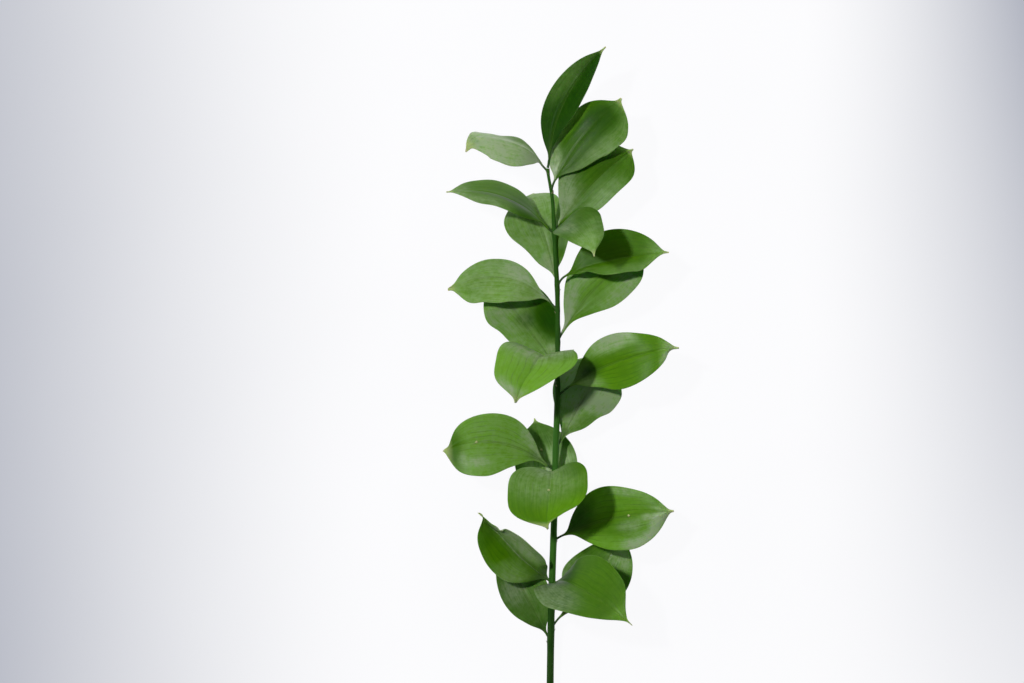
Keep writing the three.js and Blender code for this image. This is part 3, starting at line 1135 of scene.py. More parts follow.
class LeafBlank:
    """The flat leaf that every leaf is copied from: a grid of rows along it and columns across."""

    COLUMNS = (0.0, 0.028, 0.09, 0.18, 0.28, 0.39, 0.51, 0.63, 0.75, 0.86, 0.95, 1.0)
    STALK_ROWS = 6
    BLADE_ROWS = 38
    STALK_SHARE = 0.1  # of the UV map's height
    CROWDING = 0.55  # how much closer the rows are at the base and the tip

    def __init__(self) -> None:
        """Works out the rows and columns and models the blank."""
        self.across = np.array([-v for v in self.COLUMNS[:0:-1]] + list(self.COLUMNS))
        rows = np.linspace(0, 1, self.BLADE_ROWS + 1)
        # Rows crowd a little towards the base and the tip, where the outline turns most.
        self.along = rows - self.CROWDING * np.sin(math.tau * rows) / math.tau
        self.columns = len(self.across)
        self.rows = self.STALK_ROWS + len(self.along)
        self.piece = self._model()

    def _model(self) -> bpy.types.Object:
        """Models the blank as a grid with its UV map.

        Returns:
            The blank, a flat sheet.
        """
        bpy.ops.mesh.primitive_grid_add(x_subdivisions=self.columns - 1,
                                        y_subdivisions=self.rows - 1, size=2, calc_uvs=True)
        blank = Bench.start("leaf_blank")
        points = Bench.points(blank)
        assert len(points) == self.columns * self.rows
        self.column = np.rint((points[:, 0] + 1) / 2 * (self.columns - 1)).astype(int)
        self.row = np.rint((points[:, 1] + 1) / 2 * (self.rows - 1)).astype(int)
        share = np.concatenate([
            np.linspace(0, self.STALK_SHARE, self.STALK_ROWS, endpoint=False),
            self.STALK_SHARE + (1 - self.STALK_SHARE) * self.along])
        uv = blank.data.uv_layers.active
        uv.name = "UVMap"
        for loop in blank.data.loops:
            v = loop.vertex_index
            uv.data[loop.index].uv = ((self.across[self.column[v]] + 1) / 2, share[self.row[v]])
        return blank


@dataclass
class Leaf:
    """One leaf: its stalk and blade, grown from the blank.

    Attributes:
        name: The name of its CAD node.
        shape: How it grows.
        stem: The stem that carries it.
        blank: The flat leaf it is copied from.
        slot: The record's finish that it takes.
    """

    name: str
    shape: LeafShape
    stem: Stem
    blank: LeafBlank
    slot: Slot

    CLEARANCE = 0.4  # least height above the table
    STALK_HALF = 0.7
    STALK_THICK = 1.3
    STALK_ROUND = 1.06  # a little over 1, so that the stalk's sides keep some thickness
    STALK_BOW = 0.45  # how far behind the blade its bow is drawn, as a share of its length
    ROOT = 0.7  # how far from the stem's middle it starts, as a share of the stem's radius
    ROOT_STEPS = 200  # how finely that place is looked for
    FLARE, FLARE_REACH = 0.35, 0.25  # how much wider it is at the stem, and for how much of it
    OPENING = 0.2  # the share of the blade over which it opens to its fold
    LEAST_OPENING, LEAST_CURL = 0.01, 0.5  # a flat half is modelled with this curl, in degrees
    RIB_THICK = 0.95
    RIB_REACH = 0.9
    RIB_START = 0.12  # the share of the blade over which the stalk thins to the midrib
    RIB_THINNING = 0.35  # how much thinner the midrib is at the tip
    ROUND_REACH = 0.05  # the share of the blade over which it loses the stalk's round section
    MARGIN_THICK = 0.45
    BELLY_THICK = 0.12  # how much thicker the blade is beside the midrib than at its margin
    GROOVE, GROOVE_REACH = 0.2, 0.55  # depth and half width of the groove along the midrib
    GROOVE_FADE = 0.6  # how much shallower it is at the tip
    RELIEF_START, RELIEF_END = 0.15, 0.08  # where the fine form grows in and dies away
    WAVES, WAVE_SHIFT = 1.7, 0.23  # waves along a margin, and how far each margin's are shifted
    OVERTONE, OVERTONE_RATE, OVERTONE_SHIFT = 0.45, 2.3, 1.1  # the finer waves on top of them
    SWELL, SWELL_ACROSS, SWELL_ALONG = 0.12, 3.1, 0.6  # height and number of the low swells

    def build(self, face: bpy.types.Material, back: bpy.types.Material) -> bpy.types.Object:
        """Models the leaf.

        Args:
            face: The material of the face and the rim.
            back: The material of the back.

        Returns:
            The leaf.
        """
        leaf = Bench.copy(self.blank.piece, self.name)
        centres, reach, thick = self._rows()
        order = self.blank.row * self.blank.columns + self.blank.column
        Bench.place(leaf, centres.reshape(-1, 3)[order] * MM)
        Bench.tag(leaf, "reach", reach.ravel()[order])
        along = [0.0] * self.blank.STALK_ROWS + list(self.blank.along)
        # Painted light and shade, and painted sheen, one value each per vertex.
        shade = np.array([[self.shape.shade(u, v) for v in self.blank.across] for u in along])
        Bench.tag(leaf, "painted_light", shade[..., 0].ravel()[order])
        Bench.tag(leaf, "painted_sheen", shade[..., 1].ravel()[order])
        group = leaf.vertex_groups.new(name="body")
        greatest = thick.max()
        for vertex, share in enumerate(thick.ravel()[order] / greatest):
            group.add([vertex], float(share), "REPLACE")
        leaf.data.materials.append(face)
        leaf.data.materials.append(back)
        body = leaf.modifiers.new("body", "SOLIDIFY")
        body.thickness, body.offset = float(greatest) * MM, 0
        body.vertex_group, body.thickness_vertex_group = "body", 0
        body.material_offset, body.material_offset_rim = 1, 0
        fair = leaf.modifiers.new("fair", "SUBSURF")
        fair.levels = fair.render_levels = 1
        Bench.apply(leaf)
        leaf.vertex_groups.clear()
        Bench.dress(leaf, self.slot, [self.name])
        return leaf

    def _rows(self) -> tuple[np.ndarray, np.ndarray, np.ndarray]:
        """Works out the middle surface of the leaf, row by row.

        Returns:
            The points, how far each is from the midrib, and how thick the leaf is there.
        """
        shape, stem, blank = self.shape, self.stem, self.blank
        across, step = blank.across, shape.STEP
        points, reach, thick = [], [], []
        base, root = shape.base(stem), stem.centre(shape.node)
        along0, up0, _ = shape.frame_at(stem, 0.0)
        bow = base - along0 * self.STALK_BOW * shape.stalk[2]

        def path(t: float) -> Point:
            """The middle of the stalk, from the middle of the stem to the blade."""
            return root * (1 - t) ** 2 + bow * 2 * t * (1 - t) + base * t * t

        inside = self.ROOT * stem.radius(shape.node)
        first = next(t for t in np.linspace(0, 1, self.ROOT_STEPS)
                     if np.linalg.norm(path(t) - root) > inside)
        for t in np.linspace(first, 1, blank.STALK_ROWS, endpoint=False):
            tangent = unit(path(t + step) - path(t - step))
            up = square(up0, tangent)
            right = np.cross(tangent, up)
            flare = 1 + self.FLARE * max(0.0, 1 - (t - first) / self.FLARE_REACH)
            half = self.STALK_HALF * flare
            points.append(path(t) + right * (across * half)[:, None])
            reach.append(np.abs(across) * half)
            thick.append(self.STALK_THICK * flare * np.sqrt(self.STALK_ROUND - across ** 2))
        for u in blank.along:
            row, far, depth = self._blade_row(float(u))
            points.append(row)
            reach.append(far)
            thick.append(depth)
        points = np.array(points)
        points[..., 2] = np.maximum(points[..., 2], self.CLEARANCE)
        return points, np.array(reach), np.array(thick)

    def _blade_row(self, u: float) -> tuple[np.ndarray, np.ndarray, np.ndarray]:
        """One row across the blade.

        Args:
            u: Share of the way along the midrib.

        Returns:
            Its points, how far each is from the midrib, and how thick the leaf is there.
        """
        shape = self.shape
        centre = shape.midrib(self.stem, u)
        _, up, right = shape.frame_at(self.stem, u)
        opening = min(1.0, u / self.OPENING)
        points, reach = [], []
        for v in self.blank.across:
            side = Side.LEFT if v < 0 else Side.RIGHT
            i, far = side.value, abs(float(v))
            width = shape.half_width(u, side)
            slope = math.radians(shape.fold[i]) * opening
            curl = shape.curl[i] if abs(shape.curl[i]) > self.LEAST_CURL else self.LEAST_CURL
            gain = math.radians(curl) * max(opening, self.LEAST_OPENING)
            over = width / gain * (math.sin(slope + gain * far) - math.sin(slope))
            rise = width / gain * (math.cos(slope) - math.cos(slope + gain * far))
            tilt = (slope + gain * far) * math.copysign(1, v) if v else 0.0
            normal = up * math.cos(tilt) - right * math.sin(tilt)
            point = centre + right * over * math.copysign(1, v) + up * rise
            points.append(point + normal * self._relief(u, float(v), far * width)
                          + shape.pulled(u, float(v)))
            reach.append(far * width)
        return np.array(points), np.array(reach), self._thickness(u, np.array(reach))

    def _thickness(self, u: float, reach: np.ndarray) -> np.ndarray:
        """How thick the blade is along one row.

        Args:
            u: Share of the way along the midrib.
            reach: How far each point of the row is from the midrib.

        Returns:
            The thickness at each point.
        """
        far = np.abs(self.blank.across)
        stalk_left = max(0.0, 1 - u / self.RIB_START)
        rib = self.RIB_THICK + (self.STALK_THICK - self.RIB_THICK) * stalk_left
        rib *= 1 - self.RIB_THINNING * u
        plain = self.MARGIN_THICK + self.BELLY_THICK * (1 - far)
        near = np.exp(-(reach / self.RIB_REACH) ** 2)
        narrow = max(0.0, 1 - u / self.ROUND_REACH)
        thick = plain + (rib - plain) * near
        stalk = self.STALK_THICK * np.sqrt(self.STALK_ROUND - far ** 2)
        return thick * (1 - narrow) + stalk * narrow

    def _relief(self, u: float, v: float, reach: float) -> float:
        """Height of the blade's fine form above its smooth bend.

        Args:
            u: Share of the way along the midrib.
            v: Share of the way across, from -1 to 1.
            reach: Distance from the midrib.

        Returns:
            The height.
        """
        shape = self.shape
        opened = min(1.0, u / self.RELIEF_START) * min(1.0, (1 - u) / self.RELIEF_END)
        groove = (-self.GROOVE * math.exp(-(reach / self.GROOVE_REACH) ** 2)
                  * (1 - self.GROOVE_FADE * u))
        side = 1.0 if v > 0 else -1.0
        turn = math.tau * (self.WAVES * u + shape.phase + self.WAVE_SHIFT * side)
        wave = math.sin(turn) + self.OVERTONE * math.sin(
            self.OVERTONE_RATE * turn + self.OVERTONE_SHIFT)
        ripple = shape.ripple * wave * v * v * opened
        rolling = self.SWELL_ACROSS * abs(v) + self.SWELL_ALONG * u + shape.phase
        swell = self.SWELL * math.sin(math.tau * rolling) * opened
        return groove * opened + ripple + swell * (1 - abs(v))


# ---- Scales and buds -----------------------------------------------------------------------------


@dataclass
class Bracts:
    """The papery scales below the leaves, one at each node, all copies of one.

    Attributes:
        stem: The stem that carries them.
        length: Length of a scale.
        half: Half its width at the foot.
        thickness: Thickness of its paper.
        lean: How far it leans off the stem, in degrees.
        rows: How many faces long it is.
        columns: How many faces wide it is.
    """

    stem: Stem
    length: float = 2.8
    half: float = 1.15
    thickness: float = 0.16
    lean: float = 14.0
    rows: int = 8
    columns: int = 6

    ROUNDING = 1.7  # the power by which it narrows towards its point
    POINT = 0.04  # the width it keeps there, as a share
    CUP, FLATTENING, LEAST_CUP = 1.15, 0.8, 0.2  # how it folds round the stem, in radians
    TIP_LIFT = 0.35
    SEAT_DOWN = 0.8  # how far below its node it sits, as a share of its length
    SEAT_OUT = 0.95  # how far out it sits, as a share of the stem's radius

    def model(self, finish: bpy.types.Material) -> bpy.types.Object:
        """Models one scale, flat, with its foot at the origin and its point along Y.

        Args:
            finish: Its material.

        Returns:
            The scale.
        """
        bpy.ops.mesh.primitive_grid_add(x_subdivisions=self.columns, y_subdivisions=self.rows,
                                        size=2, calc_uvs=True)
        scale = Bench.start("bract_blank")
        points = Bench.points(scale)
        across, along = points[:, 0].copy(), (points[:, 1] + 1) / 2
        width = self.half * np.clip(1 - along ** self.ROUNDING, self.POINT, 1)
        bend = across * np.clip(self.CUP - self.FLATTENING * along, self.LEAST_CUP, None)
        points[:, 0] = width * np.sin(bend) / np.sin(self.CUP)
        points[:, 1] = along * self.length
        points[:, 2] = (np.cos(bend) - 1) * width + self.TIP_LIFT * along ** 2
        Bench.place(scale, points)
        scale.data.materials.append(finish)
        body = scale.modifiers.new("body", "SOLIDIFY")
        body.thickness, body.offset = self.thickness, 0
        Bench.apply(scale)
        return scale

    def build(self, finish: bpy.types.Material) -> None:
        """Models the scales and sets one at each node.

        Args:
            finish: Their material.
        """
        blank = self.model(finish)
        ahead = np.array([0.0, 1.0, 0.0])
        for number, (node, around) in enumerate(self.stem.nodes, 1):
            out = direction(around, 0)
            along = turned(ahead, unit(np.cross(ahead, out)), self.lean)
            face = square(out, along)
            side = np.cross(along, face)
            foot = (self.stem.centre(node - self.length * self.SEAT_DOWN)
                    + out * self.stem.radius(node) * self.SEAT_OUT)
            scale = Bench.copy(blank, f"bract_{number:02d}")
            points = Bench.points(scale)
            Bench.place(scale, (foot + points @ np.array([side, along, face])) * MM)
            Bench.dress(scale, Slot.STEM, ["stem"])
        bpy.data.objects.remove(blank)


@dataclass
class Buds:
    """Flower buds on the midribs: a round bud held in a small pointed bract.

    Attributes:
        stem: The stem that carries the leaves.
        radius: Radius of a bud.
        squash: Its height as a share of its width.
        tongue: Length of its bract.
        tongue_half: Half the width of its bract.
        tongue_turn: How far the bract is turned from the midrib, in degrees.
    """

    stem: Stem
    radius: float = 0.85
    squash: float = 0.72
    tongue: float = 3.6
    tongue_half: float = 0.75
    tongue_turn: float = 25.0

    SEGMENTS, RINGS = 20, 14
    LOBES, LOBE, LOBE_START = 3, 0.07, 0.3  # the folds between its closed petals
    NARROWING = 0.25  # how much narrower it is at the top
    SEAT = 0.66  # how high its middle is above the midrib's own middle
    TONGUE_DROP = 0.3  # how much lower its bract starts

    def _model(self, finish: bpy.types.Material) -> bpy.types.Object:
        """Models one bud at the origin, its foot down and its lips towards Y.

        Args:
            finish: Its material.

        Returns:
            The bud.
        """
        bpy.ops.mesh.primitive_uv_sphere_add(segments=self.SEGMENTS, ring_count=self.RINGS,
                                             radius=self.radius)
        bud = Bench.start("bud_blank")
        points = Bench.points(bud)
        turn = np.arctan2(points[:, 1], points[:, 0])
        height = points[:, 2] / self.radius
        folded = np.clip(height + self.LOBE_START, 0, 1)
        lobes = 1 + self.LOBE * np.cos(self.LOBES * turn) * folded
        narrow = lobes * (1 - self.NARROWING * np.clip(height, 0, 1))
        points[:, :2] *= narrow[:, None]
        points[:, 2] *= self.squash
        Bench.place(bud, points)
        bud.data.materials.append(finish)
        return bud

    def build(self, leaves: Sequence[Leaf], finish: bpy.types.Material,
              green: bpy.types.Material) -> None:
        """Sets a bud and its bract on each leaf that has one.

        Args:
            leaves: All the leaves.
            finish: The buds' material.
            green: The material of their bracts.
        """
        blank = self._model(finish)
        tongue = Bracts(self.stem, self.tongue, self.tongue_half).model(green)
        for leaf in leaves:
            shape = leaf.shape
            if shape.bud is None:
                continue
            along, up, right = shape.frame_at(self.stem, shape.bud)
            foot = (shape.midrib(self.stem, shape.bud) + up * self.SEAT
                    + shape.pulled(shape.bud, 0.0))
            bud = Bench.copy(blank, f"bud_on_{leaf.name}")
            points = Bench.points(bud)
            Bench.place(bud, (foot + points @ np.array([right, along, up])) * MM)
            Bench.dress(bud, leaf.slot, [leaf.name])
            bract = Bench.copy(tongue, f"bract_on_{leaf.name}")
            ahead = turned(along, up, self.tongue_turn)
            points = Bench.points(bract)
            Bench.place(bract, (foot - up * self.TONGUE_DROP + points @ np.array(
                [np.cross(ahead, up), ahead, up])) * MM)
            Bench.dress(bract, leaf.slot, [leaf.name])
        for piece in (blank, tongue):
            bpy.data.objects.remove(piece)


# ---- The plant -----------------------------------------------------------------------------------

LEAVES = (
    LeafShape(111, (-159, 58, 6), (-159, 61, 68), (16, 18), -75, 20, fold=(20, 15),
              curl=(10, 10), phase=0.1),
    LeafShape(119, (-9, 52, 11), (-17, 52, 70), (18.5, 21.5), 78, 20, sweep=3, fold=(5, 5),
              curl=(5, 5), widest=(0.46, 0.5), phase=0.35),
    LeafShape(134, (62, 66, 19), (45, -19, 77), (22.5, 28), 40, 80, fold=(28, 12),
              widest=(0.4, 0.33), blunt=(0.2, 0), phase=0.6),
    LeafShape(148, (153, 57, 5), (164, 43, 66), (22, 18), -95, 10, fold=(12, 66),
              blunt=(0.3, 0), phase=0.8),
    LeafShape(178, (17, 29, 9), (4, 13.5, 73), (20, 23), 85, 25, sweep=-3, fold=(4, 4),
              widest=(0.4, 0.48), blunt=(0.2, 0.1), bud=0.6, phase=0.05),
    LeafShape(218, (96, 20, 12), (95, -30, 74), (26, 26), 0, 95, fold=(18, 12),
              widest=(0.52, 0.54), blunt=(0.6, 1.4), bud=0.6, phase=0.45),
    LeafShape(197, (-98, 42, 6), (-126, 70, 61), (20, 22), -35, 20, fold=(10, 10), bud=0.62,
              phase=0.7),
    LeafShape(225, (159, 28, 7), (171, 9, 68), (23, 19), -80, 30, sweep=9, fold=(3, 3),
              widest=(0.55, 0.5), blunt=(1.2, 0.5), bud=0.72, phase=0.2),
    LeafShape(238, (-48, 52, 7), (-37, 56, 67), (23, 20.5), 62, 15, fold=(5, 5),
              widest=(0.52, 0.52), blunt=(0.2, 0.6), phase=0.9),
    LeafShape(273, (19, 39, 12), (7, 20, 75), (18.5, 19), 80, 25, sweep=-3.5, fold=(8, 8),
              phase=0.5),
    LeafShape(281, (108, 46, 15), (112, -18, 77), (26, 25), -8, 110, fold=(25, 25),
              curl=(-10, -10), blunt=(0.6, 0.3), phase=0.3),
    LeafShape(289, (-111, 36, 7), (-158, 51, 74), (20.5, 23), -75, 15, sweep=1, fold=(8, 3),
              widest=(0.55, 0.5), phase=0.65),
    LeafShape(309, (-48, 52, 7), (-17, 44, 79), (21, 18.5), 75, 15, sweep=-5, fold=(5, 5),
              widest=(0.5, 0.56), phase=0.15),
    LeafShape(329, (163, 47, 10), (175, 7, 68), (20, 19.5), -48, 60, sweep=6, fold=(-10, -10),
              blunt=(0.7, 0), phase=0.85),
    LeafShape(343, (29, 54, 11), (8, 12.5, 69), (20, 20), 58, 10, sweep=-3, fold=(27, 27),
              phase=0.4),
    LeafShape(347, (-106, 51, 5.6), (-114, 58, 76), (23.5, 20.5), -28, 103, fold=(5, 5),
              phase=0.75),
    LeafShape(380, (-52, 51, 6.5), (-6, 45, 70), (24, 17), 88, 15, sweep=-3, fold=(8, 8),
              widest=(0.5, 0.46), blunt=(0, 1.3), phase=0.25),
    LeafShape(380, (155, 31, 6), (173, 19, 73), (20, 20), -12, 59, fold=(8, 15),
              curl=(-45, 0), phase=0.55),
    LeafShape(379, (77, 19, 9), (64, -20, 62), (17, 18), 35, 85, sweep=-8, fold=(-5, 5),
              curl=(-20, 0), widest=(0.4, 0.44), phase=0.95),
    LeafShape(407, (54, 59, 8), (2, 50, 67.5), (18.5, 21.5), 88, 10, sweep=-4.5, fold=(-8, 3),
              curl=(-34, 0), widest=(0.38, 0.46), blunt=(0, 1.3), phase=0.0),
    LeafShape(419.5, (152, 42, 6.5), (155, 17, 53.5), (21, 17.5), -44, 62, fold=(-12, -20),
              curl=(0, -10), widest=(0.48, 0.52), blunt=(0.8, 1.3), hook=10, phase=0.35),
    LeafShape(421, (60, 76, 6.5), (20, 61.5, 81.5), (11.7, 13), 90, 15, sweep=-7.5,
              fold=(22, 22), widest=(0.42, 0.5), phase=0.6),
)

# The local pulls on each leaf, by its number from the foot.
PULLS: Mapping[int, tuple[Pull, ...]] = {
    1: (Pull(0.75, -1, (0.35, 1.0), (0, 0, 14)),),
    2: (Pull(0.42, -1, (0.2, 0.7), (-3.8, 0, 0)),
        lift(9)),
    3: (Pull(0.88, -1, (0.1, 0.9), (-3.2, 0.3, 0)), Pull(0.3, -1, (0.15, 0.7), (0.5, -1.3, 0)),
        Pull(0.2, 1, (0.13, 0.7), (-2.4, 6.2, 0)), Pull(0.34, 1, (0.09, 0.6), (-0.8, -1.6, 0)),
        Pull(0.12, 1, (0.06, 0.6), (0, 1.5, 0)), Pull(0.5, 0, (0.35, 0.6), (0, -2.4, 0))),
    4: (Pull(0.84, 1, (0.07, 0.9), (-1.3, -2.6, 0)), Pull(0.765, 1, (0.025, 0.6), (-0.5, -4, 0)),
        Pull(0.71, 1, (0.03, 0.5), (-1.5, 0.5, 0)), Pull(0.24, 1, (0.1, 0.8), (2.5, 0, 0)),
        Pull(0.35, 0, (0.3, 0.5), (-1.2, -1.7, 0)), Pull(0.95, -1, (0.06, 0.9), (2.5, 0.5, 0)),
        lift(-1)),
    5: (Pull(0.42, -1, (0.18, 0.7), (0, 2.1, 0)), Pull(0.42, 1, (0.15, 0.7), (0, 1.7, 0)),
        lift(18)),
    6: (Pull(0.91, -1, (0.08, 0.7), (-2, 3.2, 0)), Pull(0.7, -1, (0.1, 0.7), (2, -0.5, 0)),
        Pull(0.27, -1, (0.12, 0.8), (0, 3.6, 0)), Pull(0.24, 1, (0.12, 0.8), (0, 1.5, 0)),
        nudge(0.06, 1, 0.8), lift(-13)),
    8: (Pull(0.94, -1, (0.07, 0.8), (-3, -1.8, 0)), nudge(0.04, -1.2, 0),
        Pull(0.42, -1, (0.16, 0.6), (0, 2, 0))),
    9: (Pull(0.37, 1, (0.1, 0.7), (-1.2, 3, 0)), Pull(0.68, 1, (0.1, 0.7), (2, 0.3, 0)),
        lift(28, 0.9)),
    10: (Pull(0.7, -1, (0.15, 0.7), (0, -1.5, 0)), Pull(0.93, 1, (0.05, 0.8), (-1.7, 0, 0)),
        Pull(0.24, 1, (0.1, 0.7), (0, 1.9, 0)), nudge(0.05, 0, -1.2),
        lift(15, 0.8)),
    11: (Pull(0.66, -1, (0.17, 0.9), (7, -3, 0)), Pull(0.42, 1, (0.2, 0.7), (0.2, -2.0, 0)),
        Pull(0.84, 1, (0.1, 0.6), (-3.2, -1.6, 0)), nudge(0.08, -1, -1.2),
        Pull(0.37, -1, (0.1, 0.3), (-2.6, -0.7, 0)), Pull(0.56, -1, (0.12, 0.4), (1.6, -0.3, 0)),
        lift(-12), Pull(0.55, -1, (0.35, 0.9), (0, 0, -14))),
    12: (Pull(0.5, -1, (0.13, 0.7), (2.5, 3.5, 0)), Pull(0.2, 1, (0.17, 0.8), (4, 0, -1)),
        lift(24)),
    13: (Pull(0.8, 1, (0.1, 0.7), (1.8, 0, 0)),
        lift(25), Pull(0.8, 1, (0.4, 1.0), (0, 0, 4))),
    14: (Pull(0.86, -1, (0.12, 0.8), (-0.5, -3, 0)), Pull(0.33, -1, (0.13, 0.7), (0, 2.1, 0)),
        nudge(0.05, -1, -1), Pull(0.13, 1, (0.08, 0.8), (-2, 0, 0)),
        Pull(0.45, 1, (0.25, 0.7), (0, 1.3, 0)), lift(-10, reach=0.6)),
    15: (Pull(0.74, 1, (0.1, 0.7), (0, -3, 0)), Pull(0.2, 1, (0.13, 0.7), (0, 3.6, 0)),
        lift(-4)),
    16: (Pull(0.27, -1, (0.13, 0.7), (3, 3.6, 0)), Pull(0.58, -1, (0.12, 0.7), (-1.4, 0, 0)),
        Pull(0.54, 1, (0.14, 0.7), (-5.2, 0, 0)), Pull(0.27, 1, (0.14, 0.7), (-2.4, 0.5, 0)),
        lift(3)),
    17: (Pull(0.55, 1, (0.3, 0.5), (-0.9, 1.2, 0)),
        lift(6, 0.8, 0.4), Pull(0.6, -1, (0.3, 0.8), (0, 0, 3))),
    18: (Pull(0.52, 1, (0.25, 0.7), (0, 2.1, 0)), Pull(0.7, -1, (0.12, 0.7), (0, -1.6, 0)),
        lift(-4)),
    19: (Pull(0.62, -1, (0.18, 0.7), (-2.9, 0, 0)), Pull(0.24, -1, (0.1, 0.7), (-1.5, 3.2, 0)),
        nudge(0.1, -1.3, -0.2)),
    20: (Pull(0.74, -1, (0.16, 0.8), (-0.5, 2.2, 0)), Pull(0.35, 1, (0.14, 0.6), (-0.5, 3.6, 0)),
        Pull(0.74, 1, (0.12, 0.6), (1.8, -0.3, 0)), Pull(0.93, 1, (0.06, 0.8), (1.2, 0, 0)),
        nudge(0.05, -0.5, 1.1),
        Pull(0.65, -1, (0.2, 1.0), (0, 0, 2.5)), Pull(0.35, -1, (0.12, 0.5), (0.5, 0, -1.5))),
    21: (Pull(0.84, 1, (0.06, 0.8), (-3, 0.6, 0)), Pull(0.91, 1, (0.05, 0.8), (-5.5, 1.6, 0)),
        Pull(0.96, 1, (0.025, 0.8), (-1.5, 1, 0)), Pull(0.25, 1, (0.17, 0.7), (0, 5, 0)),
        Pull(0.33, -1, (0.17, 0.7), (0, 2.6, 0)), nudge(0.03, 0.3, -1.4)),
    22: (lift(-5, 0.7, 0.3),),
}

# Painted light and shade, and painted sheen, on each leaf, by its number from the foot.
SHADES: Mapping[int, Pair] = {
    1: (0.38, 0.15), 2: (0.5, 0.1), 3: (0.42, 0.02), 4: (0.5, 0.05), 5: (0.75, 0.05),
    6: (0.55, 0.0), 7: (0.35, 0.1), 8: (1.0, 0.25), 9: (0.9, 0.6), 10: (0.6, 0.0),
    11: (1.0, 0.12), 12: (0.7, 0.28), 13: (0.75, 0.08), 14: (0.85, 0.4), 15: (0.38, 0.0),
    16: (0.75, 0.38), 17: (0.4, 0.03), 18: (0.55, 0.0), 19: (0.28, 0.06), 20: (0.25, 0.0),
    21: (1.0, 0.85), 22: (0.04, 0.0),
}

